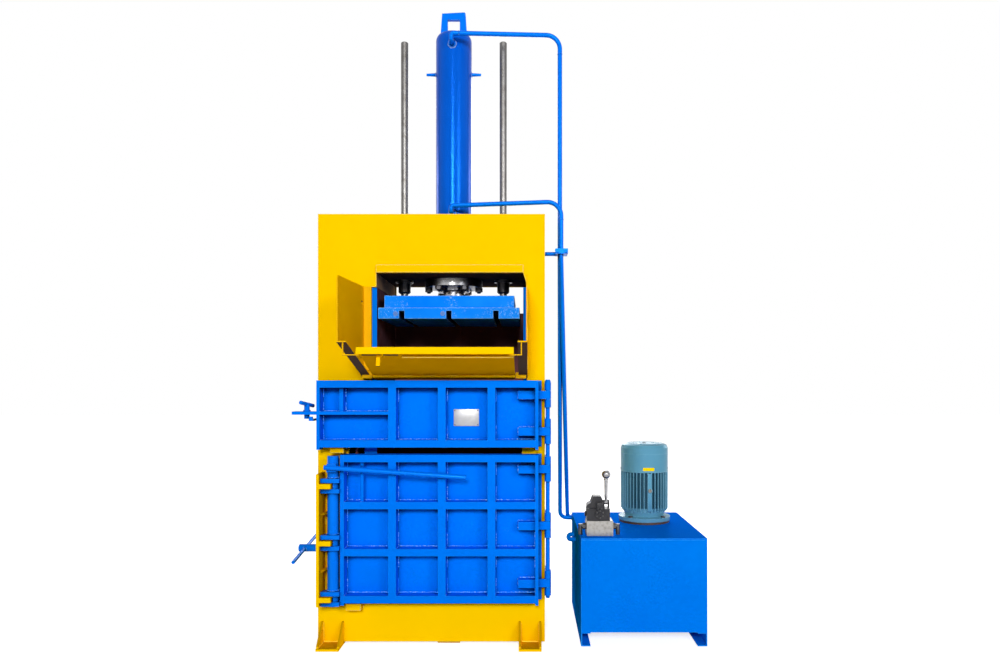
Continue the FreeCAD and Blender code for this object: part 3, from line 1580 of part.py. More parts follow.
def pump():
    """Gear pump hung under the lid on its bell, with the drive shaft's bore."""
    shaft = motor_shaft_diameter / 4 + fit_clearance
    r = pump_diameter / 2
    casting = r * pump_body_share
    bore = r - pump_bell_wall
    top = pump_length
    shoulder = top * 0.6
    profile = [(shaft, 0), (casting, 0), (casting, top / 2), (r, shoulder), (r, top),
               (bore, top), (bore, shoulder + pump_bell_wall), (shaft, shoulder)]
    return revolved(profile, V(motor_x, motor_y, motor_base - pump_length))


def manifold_block():
    """Drilled steel block on the tank's lid."""
    body = block(manifold_left, manifold_left + manifold_width, manifold_front,
                 manifold_front + manifold_depth, tank_top, manifold_top)
    edges = [e for e in body.Edges if e.Length > manifold_height + 1]
    return body.makeChamfer(manifold_chamfer, edges)


def valve_body():
    """Hand valve on the manifold: a stepped casting with a round end cap and pilot housing."""
    front_face = manifold_front
    rear_face = manifold_front + manifold_depth
    x0 = manifold_left + valve_side_inset
    floor = manifold_top + valve_base_height
    low = block(x0, x0 + valve_width, front_face + valve_base_inset,
                rear_face - valve_base_inset, manifold_top, floor)
    outline = [(x0 + x, floor if drop is None else valve_height - drop)
               for x, drop in valve_crown]
    outline.append((x0 + valve_crown[0][0], floor + valve_shoulder))
    high = plate_xz(outline, front_face + valve_crown_inset[0], rear_face - valve_crown_inset[1])
    cap_x = x0 + valve_cap_place
    cap_z = manifold_top + valve_cap_height
    cap = rod(valve_cap_diameter / 2, V(cap_x, front_face - valve_cap_reach, cap_z),
              V(cap_x, front_face + valve_cap_root, cap_z))
    half = pilot_width / 2
    pilot = block(cap_x - half, cap_x + half, front_face - pilot_reach, front_face + pilot_root,
                  manifold_top + pilot_foot, valve_height - pilot_drop)
    pieces = [low, high, cap, pilot]
    half_ear = lever_ear / 2
    half_depth = lever_ear_depth / 2
    for side in (-1, 1):
        x = valve_lever_x + side * lever_ear_place
        pieces.append(block(x - half_ear, x + half_ear, manifold_middle - half_depth,
                            manifold_middle + half_depth, manifold_top + lever_ear_foot,
                            valve_pivot + lever_ear_top))
    reach = lever_ear_place + half_ear
    pieces.append(rod(lever_pin / 2, V(valve_lever_x - reach, manifold_middle, valve_pivot),
                      V(valve_lever_x + reach, manifold_middle, valve_pivot)))
    return joined(pieces)


def valve_lever():
    """Hand lever with a ball, on the valve's pivot pin."""
    x, y = valve_lever_x, manifold_middle
    r = valve_lever_diameter / 2
    half = lever_ear_place - lever_ear / 2 - lever_hub_gap
    hub = rod(lever_hub / 2, V(x - half, y, valve_pivot), V(x + half, y, valve_pivot))
    stem_top = valve_ball_height - valve_ball / 2 + ball_root
    profile = [(0, valve_pivot), (r * lever_neck_share, valve_pivot),
               (r, valve_pivot + lever_neck_rise), (r, stem_top), (0, stem_top)]
    stem = revolved(profile, V(x, y, 0))
    ball = Part.makeSphere(valve_ball / 2, V(x, y, valve_ball_height))
    bore = rod(lever_pin / 2 + fit_clearance, V(x - lever_hub, y, valve_pivot),
               V(x + lever_hub, y, valve_pivot))
    return joined([hub, stem, ball]).cut(bore)


def manifold_fittings():
    """Hydraulic fittings on both sides of the manifold, and their short links to the lid."""
    pieces = []
    y = manifold_middle
    z = tank_top + fitting_height
    for side, x in ((-1, manifold_left), (1, manifold_left + manifold_width)):
        tip = x + side * fitting_reach
        nut = turned(hexagon(fitting_size, 0, fitting_nut), V(0, 0, 0), Y_AXIS, 90 * side)
        nut.translate(V(x, y, z))
        neck = rod(fitting_neck_diameter / 2, V(x, y, z), V(tip, y, z))
        drop = rod(fitting_drop_diameter / 2, V(tip, y, tank_top),
                   V(tip, y, z + fitting_drop_diameter / 2))
        pieces.append(joined([nut, neck, drop]))
    return group(pieces)


def all_parts():
    """Every sub-part by its name."""
    return {
        "front_plate": front_plate(),
        "back_plate": back_plate(),
        "left_side_plate": left_side_plate(),
        "right_side_plate": side_plate(column_right, frame_right),
        "inner_column_plate": inner_column_plate(),
        "upper_liner": upper_liner(),
        "crown_beam": crown_beam(),
        "bed_beam": bed_beam(),
        "chamber_right_wall": chamber_right_wall(),
        "chamber_back_wall": chamber_back_wall(),
        "wear_strip": wear_strip(),
        "feet": feet(),
        "release_wall": release_wall(),
        "thrust_cup": thrust_cup(),
        "release_screw": release_screw(),
        "tommy_bar": tommy_bar(),
        "platen_plate": platen_plate_solid(),
        "platen_box": platen_box(),
        "guide_rods": guide_rods(),
        "piston_rod": piston_rod(),
        "cylinder_barrel": cylinder_barrel(),
        "cylinder_flange": cylinder_flange(),
        "stop_pegs": stop_pegs(),
        "cylinder_gland": cylinder_gland(),
        "flange_studs": flange_studs(),
        "guide_bushes": guide_bushes(),
        "bush_bolts": bush_bolt_set(),
        "lifting_eye": lifting_eye(),
        "upper_pipe": pressure_pipe(upper_run_height, 0),
        "lower_pipe": pressure_pipe(lower_run_height, 1),
        "pipe_unions": pipe_unions(),
        "pipe_clamp": pipe_clamp(),
        "left_wing": left_wing(),
        "right_wing": right_wing(),
        "feed_flap": feed_flap(),
        "flap_bolt": flap_bolt_rod(),
        "upper_door": upper_door(),
        "upper_door_grid": upper_door_grid(),
        "lower_door": lower_door(),
        "lower_door_grid": lower_door_grid(),
        "hinge_knuckles": hinge_knuckles(),
        "hinge_rod": hinge_rod(),
        "lock_plate": lock_plate(),
        "lock_brackets": lock_brackets(),
        "lock_shaft": lock_shaft(),
        "upper_latch": upper_latch(),
        "latch_keeper": latch_keeper(),
        "tank": tank(),
        "tank_lid": tank_lid_plate(),
        "motor_adapter": motor_adapter(),
        "motor_body": motor_body(),
        "motor_bolts": motor_bolt_set(),
        "motor_bearings": motor_bearings(),
        "fan_cover": fan_cover(),
        "motor_rotor": motor_rotor(),
        "pump": pump(),
        "manifold_block": manifold_block(),
        "valve_body": valve_body(),
        "valve_lever": valve_lever(),
        "manifold_fittings": manifold_fittings(),
    }


def save(parts):
    """Write each part to its own file."""
    os.makedirs("parts", exist_ok=True)
    for name, shape in parts.items():
        shape.exportStep("parts/" + name + ".step")


if __name__ == "__main__":
    save(all_parts())
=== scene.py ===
"""Looks of an upright hydraulic baler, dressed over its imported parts.

Every size is in metres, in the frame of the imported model: the origin is on the floor under the
press axis, +X to the right as seen from the doors, +Y from the doors to the back, +Z up.
"""

import logging
import math
from collections.abc import Callable
from dataclasses import dataclass
from enum import Enum

import bmesh
import bpy
from mathutils import Matrix, Vector


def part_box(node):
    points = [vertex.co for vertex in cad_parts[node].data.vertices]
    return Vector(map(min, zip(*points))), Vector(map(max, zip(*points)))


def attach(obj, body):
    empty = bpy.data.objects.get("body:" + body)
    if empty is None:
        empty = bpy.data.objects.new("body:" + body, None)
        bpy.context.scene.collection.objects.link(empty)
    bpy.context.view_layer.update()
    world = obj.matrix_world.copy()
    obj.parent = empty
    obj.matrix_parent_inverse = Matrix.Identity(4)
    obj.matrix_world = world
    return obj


LOG = logging.getLogger("baler")

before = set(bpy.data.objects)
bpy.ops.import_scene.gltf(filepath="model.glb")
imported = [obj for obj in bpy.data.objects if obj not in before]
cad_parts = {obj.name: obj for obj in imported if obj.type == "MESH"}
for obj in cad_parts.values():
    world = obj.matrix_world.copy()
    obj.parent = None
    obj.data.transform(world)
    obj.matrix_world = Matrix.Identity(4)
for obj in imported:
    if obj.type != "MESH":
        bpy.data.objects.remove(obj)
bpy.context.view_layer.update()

Point = tuple[float, float, float]
Colour = tuple[float, float, float]
Span = tuple[float, float]
Profile = list[Span]
Mesh = bmesh.types.BMesh

LEFT: Point = (-1.0, 0.0, 0.0)
RIGHT: Point = (1.0, 0.0, 0.0)
FRONT: Point = (0.0, -1.0, 0.0)
BACK: Point = (0.0, 1.0, 0.0)
DOWN: Point = (0.0, 0.0, -1.0)
UP: Point = (0.0, 0.0, 1.0)


class Paint(Enum):
    """The named finishes of the machine."""

    YELLOW = "yellow_enamel"
    PLATE_STOCK = "lock_plate_enamel"
    BLUE = "blue_enamel"
    DOOR_BLUE = "door_blue_enamel"
    PLATEN = "platen_enamel"
    BARREL = "barrel_enamel"
    TANK = "tank_enamel"
    LID = "lid_enamel"
    OXIDE = "red_oxide"
    WALL = "wall_enamel"
    LINER = "liner_enamel"
    CROWN = "crown_enamel"
    WING = "wing_enamel"
    FLAP = "flap_enamel"
    ROD_STEEL = "rod_steel"
    POLISHED = "polished_steel"
    BLACK_STEEL = "black_steel"
    FLANGE = "flange_steel"
    MOTOR = "motor_enamel"
    ZINC = "zinc_plate"
    FINS = "finned_enamel"
    FOOT = "foot_enamel"
    DARK_ZINC = "dark_zinc"
    GASKET = "gasket_oily"
    MILLED = "milled_steel"
    CASTING = "black_casting"
    CHROME = "chrome_plate"
    PLATE = "bare_plate"
    STICKER = "blank_sticker"
    WELD_BLUE = "blue_weld"
    WELD_YELLOW = "yellow_weld"
    SPATTER = "weld_spatter"
    SEAL = "dark_seal"


class Body(Enum):
    """The bodies that the scene's own pieces ride on."""

    FRAME = "frame"
    PLATEN = "platen"
    UPPER_DOOR = "upper_door"
    LOWER_DOOR = "lower_door"
    LOCK_SHAFT = "lock_shaft"
    FLAP = "feed_flap"
    SCREW = "release_screw"
    LEVER = "valve_lever"


class Slot(Enum):
    """The record's material slots that the plans list for those pieces."""

    YELLOW = "yellow_paint"
    BLUE = "blue_paint"
    TANK = "tank_paint"
    POLISHED = "polished_steel"
    DARK = "dark_steel"
    MOTOR = "motor_paint"
    ZINC = "motor_bolt_steel"
    CASTING = "valve_casting"
    FITTING = "fitting_steel"
    CHROME = "lever_chrome"


# ---------------------------------------------------------------- node building
class Nodes:
    """Small helper that adds shader nodes to one material."""

    # SHELTER and SKY_LIFT shape the painted shade that is laid under overhangs
    SHELTER = (0.7, 0.3)        # open sky share where the mask starts, and where it is full
    SHARP = (0.99, 0.86)        # how far rounding turns a face where an edge starts, and at its top
    SKY_LIFT = (0.0, 0.0, 0.9)
    FOOT_FADE = 0.004

    def __init__(self, name: str) -> None:
        """Start an empty material.

        Args:
            name: The material's name.
        """
        self.material = bpy.data.materials.new(name)
        self.material.use_nodes = True
        self.tree = self.material.node_tree
        self.tree.nodes.clear()
        self.output = self.add("ShaderNodeOutputMaterial")
        self.shader = self.add("ShaderNodeBsdfPrincipled")
        self.link(self.shader, "BSDF", self.output, "Surface")
        self.coords = self.add("ShaderNodeTexCoord")

    def add(self, kind: str, **settings: object) -> bpy.types.Node:
        """Add a node.

        Args:
            kind: The node's type name.
            **settings: Attributes to set on it.

        Returns:
            The new node.
        """
        node = self.tree.nodes.new(kind)
        for key, value in settings.items():
            setattr(node, key, value)
        return node

    def link(self, source: bpy.types.Node, out: str | int, target: bpy.types.Node,
             into: str | int) -> None:
        """Join an output socket of one node to an input socket of another."""
        self.tree.links.new(source.outputs[out], target.inputs[into])

    def set(self, **values: float | Colour) -> None:
        """Set plain values on the shader; underscores in a name stand for spaces.

        Args:
            **values: Socket names and what they are set to.
        """
        for key, value in values.items():
            socket = self.shader.inputs[key.replace("_", " ")]
            socket.default_value = (*value, 1.0) if isinstance(value, tuple) else value

    def noise(self, scale: float, detail: float = 4.0, roughness: float = 0.55,
              stretch: Point = (1.0, 1.0, 1.0)) -> bpy.types.Node:
        """Add noise on the object's own coordinates.

        Args:
            scale: Cells for each metre.
            detail: Octaves.
            roughness: Weight of the finer octaves.
            stretch: Scale along each axis.

        Returns:
            The noise node.
        """
        mapping = self.add("ShaderNodeMapping")
        mapping.inputs["Scale"].default_value = stretch
        self.link(self.coords, "Object", mapping, "Vector")
        node = self.add("ShaderNodeTexNoise")
        node.inputs["Scale"].default_value = scale
        node.inputs["Detail"].default_value = detail
        node.inputs["Roughness"].default_value = roughness
        self.link(mapping, "Vector", node, "Vector")
        return node

    def ramp(self, source: bpy.types.Node, out: str | int, low: float, high: float,
             to_low: float = 0.0, to_high: float = 1.0) -> bpy.types.Node:
        """Map a span of values to another, clamped.

        Args:
            source: The node the value comes from.
            out: Its output socket.
            low: Value that gives to_low.
            high: Value that gives to_high.
            to_low: Result at low.
            to_high: Result at high.

        Returns:
            The map range node.
        """
        node = self.add("ShaderNodeMapRange", clamp=True)
        for key, value in (("From Min", low), ("From Max", high), ("To Min", to_low),
                           ("To Max", to_high)):
            node.inputs[key].default_value = value
        self.link(source, out, node, "Value")
        return node

    def math(self, operation: str, first: bpy.types.Node,
             second: bpy.types.Node | float) -> bpy.types.Node:
        """Combine two values.

        Args:
            operation: The node's operation.
            first: Node whose first output is the first value.
            second: Node whose first output is the second value, or a number.

        Returns:
            The math node.
        """
        node = self.add("ShaderNodeMath", operation=operation)
        self.tree.links.new(first.outputs[0], node.inputs[0])
        if isinstance(second, float):
            node.inputs[1].default_value = second
        else:
            self.tree.links.new(second.outputs[0], node.inputs[1])
        return node

    def mix(self, factor: bpy.types.Node, first: bpy.types.Node | Colour,
            second: bpy.types.Node | Colour) -> bpy.types.Node:
        """Mix two colours by a node's result.

        Args:
            factor: Node whose first output is the share of the second colour.
            first: Colour, or a mix node that gives one.
            second: Colour, or a mix node that gives one.

        Returns:
            The mix node; its colour is output 2.
        """
        node = self.add("ShaderNodeMix", data_type="RGBA")
        self.tree.links.new(factor.outputs[0], node.inputs[0])
        for index, value in ((6, first), (7, second)):
            if isinstance(value, tuple):
                node.inputs[index].default_value = (*value, 1.0)
            else:
                self.tree.links.new(value.outputs[2], node.inputs[index])
        return node

    def facing(self, axis: Point, low: float = 0.3, high: float = 0.7) -> bpy.types.Node:
        """Mask of the faces that look along an axis of the object.

        Args:
            axis: The direction.
            low: Dot product where the mask starts.
            high: Dot product where it is full.

        Returns:
            The map range node that holds the mask.
        """
        dot = self.add("ShaderNodeVectorMath", operation="DOT_PRODUCT")
        dot.inputs[1].default_value = axis
        self.link(self.coords, "Normal", dot, 0)
        return self.ramp(dot, "Value", low, high)

    def place(self, axis: str, low: float, high: float) -> bpy.types.Node:
        """Gradient along an axis of the object.

        Args:
            axis: X, Y or Z.
            low: Place in metres where the gradient is 0.
            high: Place in metres where it is 1.

        Returns:
            The map range node that holds the gradient.
        """
        split = self.add("ShaderNodeSeparateXYZ")
        self.link(self.coords, "Object", split, 0)
        return self.ramp(split, axis, low, high)

    def depth(self, centre: Point, low: float, high: float) -> bpy.types.Node:
        """Gradient outwards from an upright axis, full everywhere below a height.

        Args:
            centre: X and Y of the axis, and the height.
            low: Distance in metres where the gradient is 0.
            high: Distance in metres where it is 1.

        Returns:
            The node that holds the gradient.
        """
        flat = self.add("ShaderNodeVectorMath", operation="MULTIPLY_ADD")
        self.link(self.coords, "Object", flat, 0)
        flat.inputs[1].default_value = (1.0, 1.0, 0.0)
        flat.inputs[2].default_value = (-centre[0], -centre[1], 0.0)
        away = self.add("ShaderNodeVectorMath", operation="LENGTH")
        self.link(flat, 0, away, 0)
        out = self.ramp(away, "Value", low, high)
        return self.math("MAXIMUM", out, self.place("Z", centre[2], centre[2] - self.FOOT_FADE))

    def edges(self, radius: float) -> bpy.types.Node:
        """Mask of the sharp edges, where paint draws thin and light catches.

        Args:
            radius: Width of the band in metres.

        Returns:
            The map range node that holds the mask.
        """
        bevel = self.add("ShaderNodeBevel", samples=4)
        bevel.inputs["Radius"].default_value = radius
        plain = self.add("ShaderNodeNewGeometry")
        dot = self.add("ShaderNodeVectorMath", operation="DOT_PRODUCT")
        self.link(bevel, "Normal", dot, 0)
        self.link(plain, "True Normal", dot, 1)
        return self.ramp(dot, "Value", *self.SHARP)

    def painted_overhang_shade(self, reach: float) -> bpy.types.Node:
        """Mask of what lies close under an overhang, where a painted shade is laid.

        Args:
            reach: How far away in metres an overhang still counts.

        Returns:
            The map range node that holds the mask.
        """
        plain = self.add("ShaderNodeNewGeometry")
        lifted = self.add("ShaderNodeVectorMath", operation="ADD")
        self.link(plain, "Normal", lifted, 0)
        lifted.inputs[1].default_value = self.SKY_LIFT
        sky = self.add("ShaderNodeAmbientOcclusion", samples=6)
        sky.inputs["Distance"].default_value = reach
        self.link(lifted, 0, sky, "Normal")
        return self.ramp(sky, "AO", *self.SHELTER)

    def bump(self, layers: list[tuple[bpy.types.Node, float, float]], round_edge: float) -> None:
        """Stack bump layers on slightly rounded edges.

        Args:
            layers: Noise node, strength and distance of each layer.
            round_edge: Radius in metres that softens the edges.
        """
        last = self.add("ShaderNodeBevel", samples=4)
        last.inputs["Radius"].default_value = round_edge
        for source, strength, distance in layers:
            node = self.add("ShaderNodeBump")
            node.inputs["Strength"].default_value = strength
            node.inputs["Distance"].default_value = distance
            self.link(source, 0, node, "Height")
            self.link(last, "Normal", node, "Normal")
            last = node
        self.link(last, "Normal", self.shader, "Normal")


@dataclass(frozen=True)
class Enamel:
    """Sprayed enamel with orange peel, clouding, fine specks, scuffs and painted edge highlights.
    """

    base: Colour
    shade: Colour
    scuff: Colour
    edge: Colour
    sheen: Colour
    gloss: float = 0.34
    specular: float = 0.0
    metal: float = 0.08
    peel: float = 0.12
    peel_scale: float = 260.0
    scuffs: float = 0.35
    speck: Span = (0.66, 0.72)
    speck_scale: float = 240.0
    patch: Span = (0.52, 0.64)
    edge_share: float = 0.45
    edge_width: float = 0.004
    round_edge: float = 0.003
    # painted shade: a darker colour laid under overhangs, and how far an overhang reaches
    grime_and_painted_shade: Colour | None = None
    painted_shade_reach: float = 0.045
    # painted shade: a dark colour laid deep in grooves, close to an upright axis
    groove: tuple[Point, float, float] | None = None
    groove_shade_colour: Colour = (0.0, 0.0, 0.0)

    def colour(self, kit: Nodes, clouds: bpy.types.Node) -> bpy.types.Node:
        """Layer the enamel's colours.

        Args:
            kit: The material being built.
            clouds: Noise that drifts between the base and the shade.

        Returns:
            The node whose output 2 is the colour.
        """
        ground = kit.mix(kit.ramp(clouds, 0, 0.35, 0.7), self.base, self.shade)
        speck = kit.ramp(kit.noise(self.speck_scale, 3.0, 0.7), 0, *self.speck)
        patch = kit.ramp(kit.noise(7.0, 4.0), 0, *self.patch, 0.0, self.scuffs)
        scuffed = kit.mix(kit.math("MULTIPLY", speck, patch), ground, self.scuff)
        # sharp edges painted lighter: partly thin worn paint, partly a painted highlight, broken up
        # at random
        wear = kit.ramp(kit.noise(60.0, 4.0), 0, 0.35, 0.6, 0.4, 1.0)
        rim = kit.math("MULTIPLY", kit.edges(self.edge_width), wear)
        top = kit.mix(kit.math("MULTIPLY", rim, self.edge_share), scuffed, self.edge)
        # painted shade: the darker colour goes where an overhang would cast a shadow
        if self.grime_and_painted_shade is not None:
            top = kit.mix(kit.painted_overhang_shade(self.painted_shade_reach), top, self.grime_and_painted_shade)
        # painted shade: grooves close to the axis take the dark colour
        if self.groove is not None:
            top = kit.mix(kit.depth(*self.groove), self.groove_shade_colour, top)
        return top

    def build(self, name: str) -> bpy.types.Material:
        """Build the material.

        Args:
            name: The material's name.

        Returns:
            The material.
        """
        kit = Nodes(name)
        clouds = kit.noise(2.6, 5.0)
        kit.link(self.colour(kit, clouds), 2, kit.shader, "Base Color")
        rough = kit.ramp(clouds, 0, 0.3, 0.75, self.gloss - 0.05, self.gloss + 0.1)
        kit.link(rough, 0, kit.shader, "Roughness")
        kit.set(Specular_IOR_Level=self.specular, Specular_Tint=self.sheen, Metallic=self.metal)
        peel = kit.noise(self.peel_scale, 2.0)
        kit.bump([(kit.noise(22.0, 2.0), 0.06, 0.004), (peel, self.peel, 0.0012)],
                 self.round_edge)
        return kit.material


@dataclass(frozen=True)
class FacedEnamel:
    """Enamel of one colour on faces towards an axis, grimy other colours elsewhere; mostly painted
    shade.
    """

    front: Colour
    rest: Colour
    rest_dark: Colour
    axis: Point
    sheen: Colour
    gloss: float = 0.4
    fade: tuple[str, float, float] = ("Z", 0.0, 1.0)
    fade_colour: Colour | None = None

    def build(self, name: str) -> bpy.types.Material:
        """Build the material.

        Args:
            name: The material's name.

        Returns:
            The material.
        """
        kit = Nodes(name)
        # random grime blotches between the two colours of the other faces
        grime_and_painted_shade = kit.ramp(kit.noise(4.5, 6.0, 0.65), 0, 0.38, 0.72)
        inner = kit.mix(grime_and_painted_shade, self.rest, self.rest_dark)
        cloud = kit.ramp(kit.noise(3.0, 4.0), 0, 0.35, 0.7)
        deeper = tuple(0.9 * part for part in self.front)
        outer = kit.mix(cloud, self.front, deeper)
        if self.fade_colour is not None:
            outer = kit.mix(kit.place(*self.fade), outer, self.fade_colour)
        kit.link(kit.mix(kit.facing(self.axis), inner, outer), 2, kit.shader, "Base Color")
        rough = kit.ramp(kit.noise(9.0, 4.0), 0, 0.3, 0.7, self.gloss - 0.08, self.gloss + 0.15)
        kit.link(rough, 0, kit.shader, "Roughness")
        kit.set(Specular_IOR_Level=0.0, Specular_Tint=self.sheen)
        kit.bump([(kit.noise(180.0, 3.0), 0.15, 0.001)], 0.002)
        return kit.material


@dataclass(frozen=True)
class TurnedFlange:
    """Blackened flange with a ground rim, painted bright only round its middle as a painted
    reflection.
    """

    ground: Colour
    black: Colour
    middle: float = -0.01
    bright: float = 0.025
    dark: float = 0.1
    top: Span = (1.9525, 1.9545)

    def build(self, name: str) -> bpy.types.Material:
        """Build the material.

        Args:
            name: The material's name.

        Returns:
            The material.
        """
        kit = Nodes(name)
        split = kit.add("ShaderNodeSeparateXYZ")
        kit.link(kit.coords, "Object", split, 0)
        # painted reflection: the ground rim is painted bright near the middle and dark towards its
        # ends
        away = kit.math("ABSOLUTE", kit.math("SUBTRACT", split, self.middle), 0.0)
        ends = kit.ramp(away, 0, self.bright, self.dark)
        cover = kit.math("MAXIMUM", ends, kit.place("Z", *self.top))
        # downward faces are painted darker
        under = kit.math("MULTIPLY", kit.facing(DOWN), 0.8)
        cover = kit.math("MAXIMUM", cover, under)
        kit.link(kit.mix(cover, self.ground, self.black), 2, kit.shader, "Base Color")
        kit.set(Metallic=0.9)
        grain = kit.noise(90.0, 3.0, 0.6, (1.0, 1.0, 14.0))
        kit.link(kit.ramp(grain, 0, 0.3, 0.7, 0.2, 0.34), 0, kit.shader, "Roughness")
        kit.bump([(grain, 0.08, 0.0005)], 0.002)
        return kit.material


@dataclass(frozen=True)
class Metal:
    """Bare, ground, chromed or blackened metal, or a dark seal, with grain and stains."""

    base: Colour
    stain: Colour
    rough: float
    metallic: float = 1.0
    grain: Point = (1.0, 1.0, 12.0)
    grain_scale: float = 120.0
    bump: float = 0.1
    stain_share: float = 0.6
    stain_scale: float = 28.0
    round_edge: float = 0.001
    specular: float = 0.5

    def build(self, name: str) -> bpy.types.Material:
        """Build the material.

        Args:
            name: The material's name.

        Returns:
            The material.
        """
        kit = Nodes(name)
        stains = kit.noise(self.stain_scale, 6.0, 0.6)
        blotch = kit.ramp(stains, 0, 0.45, 0.72, 0.0, self.stain_share)
        kit.link(kit.mix(blotch, self.base, self.stain), 2, kit.shader, "Base Color")
        kit.set(Metallic=self.metallic, Specular_IOR_Level=self.specular)
        grain = kit.noise(self.grain_scale, 4.0, 0.6, self.grain)
        rough = kit.ramp(grain, 0, 0.3, 0.7, max(self.rough - 0.08, 0.03), self.rough + 0.12)
        kit.link(rough, 0, kit.shader, "Roughness")
        kit.bump([(grain, self.bump, 0.0006)], self.round_edge)
        return kit.material


Finish = Enamel | FacedEnamel | TurnedFlange | Metal

YELLOW = (1.0, 0.61, 0.0)
YELLOW_SHADE = (0.98, 0.585, 0.0)
YELLOW_SHEEN = (1.0, 0.8, 0.35)
# near-black brown painted as shade on downward faces
YELLOW_UNDERSIDE_SHADE = (0.115, 0.07, 0.045)
BLUE = (0.0, 0.185, 0.9)
BLUE_SHADE = (0.0, 0.165, 0.84)
# pale blue painted on edges as a highlight
BLUE_LIGHT = (0.03, 0.36, 1.0)
BLUE_SHEEN = (0.2, 0.5, 1.0)
# dark blue painted as shade under overhangs
BLUE_PAINTED_SHADE = (0.0, 0.02, 0.12)
TANK_SCUFF = (0.2, 0.45, 1.0)
# paler tank blue painted on edges as a highlight
TANK_EDGE = (0.05, 0.45, 1.0)
MOTOR_SCUFF = (0.35, 0.5, 0.55)
MOTOR_SHEEN = (0.7, 0.9, 1.0)
WHITE = (1.0, 1.0, 1.0)
EVEN_GRAIN = (1.0, 1.0, 1.0)


def frame_enamels() -> dict[Paint, Finish]:
    """List the yellow finishes and those of the chamber.

    Returns:
        Finish for each name.
    """
    return {
        # the yellow enamel carries painted shade under overhangs and painted edge highlights
        Paint.YELLOW: Enamel(YELLOW, YELLOW_SHADE, (1.0, 0.78, 0.25), (1.0, 0.88, 0.4),
                             YELLOW_SHEEN, grime_and_painted_shade=(0.55, 0.26, 0.0), gloss=0.45, peel=0.05,
                             scuffs=0.2, edge_share=0.9, edge_width=0.006, metal=0.0),
        # painted shade: the lock plate's faces other than its front are painted darker orange
        Paint.PLATE_STOCK: FacedEnamel(YELLOW, (0.85, 0.42, 0.0), (0.6, 0.27, 0.0), FRONT,
                                       YELLOW_SHEEN),
        # painted shade: the feet's upward faces are painted a darker orange
        Paint.FOOT: FacedEnamel((0.66, 0.35, 0.0), YELLOW, YELLOW_SHADE, UP, YELLOW_SHEEN),
        Paint.OXIDE: FacedEnamel((0.13, 0.055, 0.06), (0.14, 0.055, 0.06), (0.08, 0.03, 0.03),
                                 FRONT, (1.0, 0.6, 0.5), fade=("Z", 1.56, 1.4),
                                 fade_colour=(0.2, 0.07, 0.075)),
        Paint.WALL: FacedEnamel(BLUE, (0.14, 0.06, 0.07), (0.04, 0.016, 0.02), FRONT, BLUE_SHEEN),
        # painted shade: the upper liner's yellow plate is painted dark amber and brown
        Paint.LINER: FacedEnamel((0.42, 0.24, 0.03), (0.3, 0.19, 0.11), (0.2, 0.12, 0.08), FRONT,
                                 YELLOW_SHEEN),
        # painted shade: the crown beam's downward faces are painted near-black brown
        Paint.CROWN: FacedEnamel((0.06, 0.036, 0.026), YELLOW, YELLOW_SHADE, DOWN, YELLOW_SHEEN),
        # painted shade: the wings' downward faces are near-black brown, their other faces a deeper
        # orange
        Paint.WING: FacedEnamel(YELLOW_UNDERSIDE_SHADE, (1.0, 0.56, 0.0), (0.95, 0.5, 0.0),
                                (0.0, -0.35, -0.94), YELLOW_SHEEN),
        # painted shade with reflected yellow glow: the flap's underside is painted orange
        Paint.FLAP: FacedEnamel((1.0, 0.44, 0.0), YELLOW, YELLOW_SHADE, (0.0, 0.3, -0.95),
                                YELLOW_SHEEN),
    }


def blue_enamels() -> dict[Paint, Finish]:
    """List the blue finishes.

    Returns:
        Finish for each name.
    """
    # the blue and door enamels carry painted shade under overhangs
    blue = {"base": BLUE, "shade": BLUE_SHADE, "scuff": (0.25, 0.5, 1.0), "edge": BLUE_LIGHT,
            "sheen": BLUE_SHEEN, "grime_and_painted_shade": BLUE_PAINTED_SHADE}
    tank = {"scuff": TANK_SCUFF, "edge": TANK_EDGE, "sheen": BLUE_SHEEN, "peel": 0.05,
            "scuffs": 0.15, "edge_share": 0.9}
    return {
        Paint.BLUE: Enamel(**blue, gloss=0.24, specular=0.1, metal=0.1),
        Paint.DOOR_BLUE: Enamel(**blue, gloss=0.3, edge_share=0.6, scuffs=0.5),
        # the platen also carries painted shade under overhangs and painted edge highlights
        Paint.PLATEN: Enamel((0.01, 0.25, 0.92), (0.0, 0.17, 0.8), (0.4, 0.7, 1.0),
                             (0.35, 0.65, 1.0), BLUE_SHEEN, gloss=0.36, scuffs=0.7,
                             speck=(0.57, 0.66), speck_scale=150.0, patch=(0.5, 0.58),
                             edge_share=1.0, edge_width=0.006, grime_and_painted_shade=BLUE_PAINTED_SHADE),
        Paint.BARREL: Enamel((0.0, 0.105, 0.64), (0.0, 0.09, 0.57), (0.45, 0.7, 1.0), BLUE_LIGHT,
                             (0.1, 0.35, 1.0), gloss=0.14, specular=0.22, metal=0.15, peel=0.8,
                             peel_scale=120.0),
        Paint.TANK: Enamel((0.0, 0.2, 0.86), (0.0, 0.18, 0.82), **tank, gloss=0.4, metal=0.0,
                           edge_width=0.006),
        Paint.LID: Enamel((0.0, 0.17, 0.86), (0.0, 0.15, 0.8), **tank, gloss=0.3),
    }


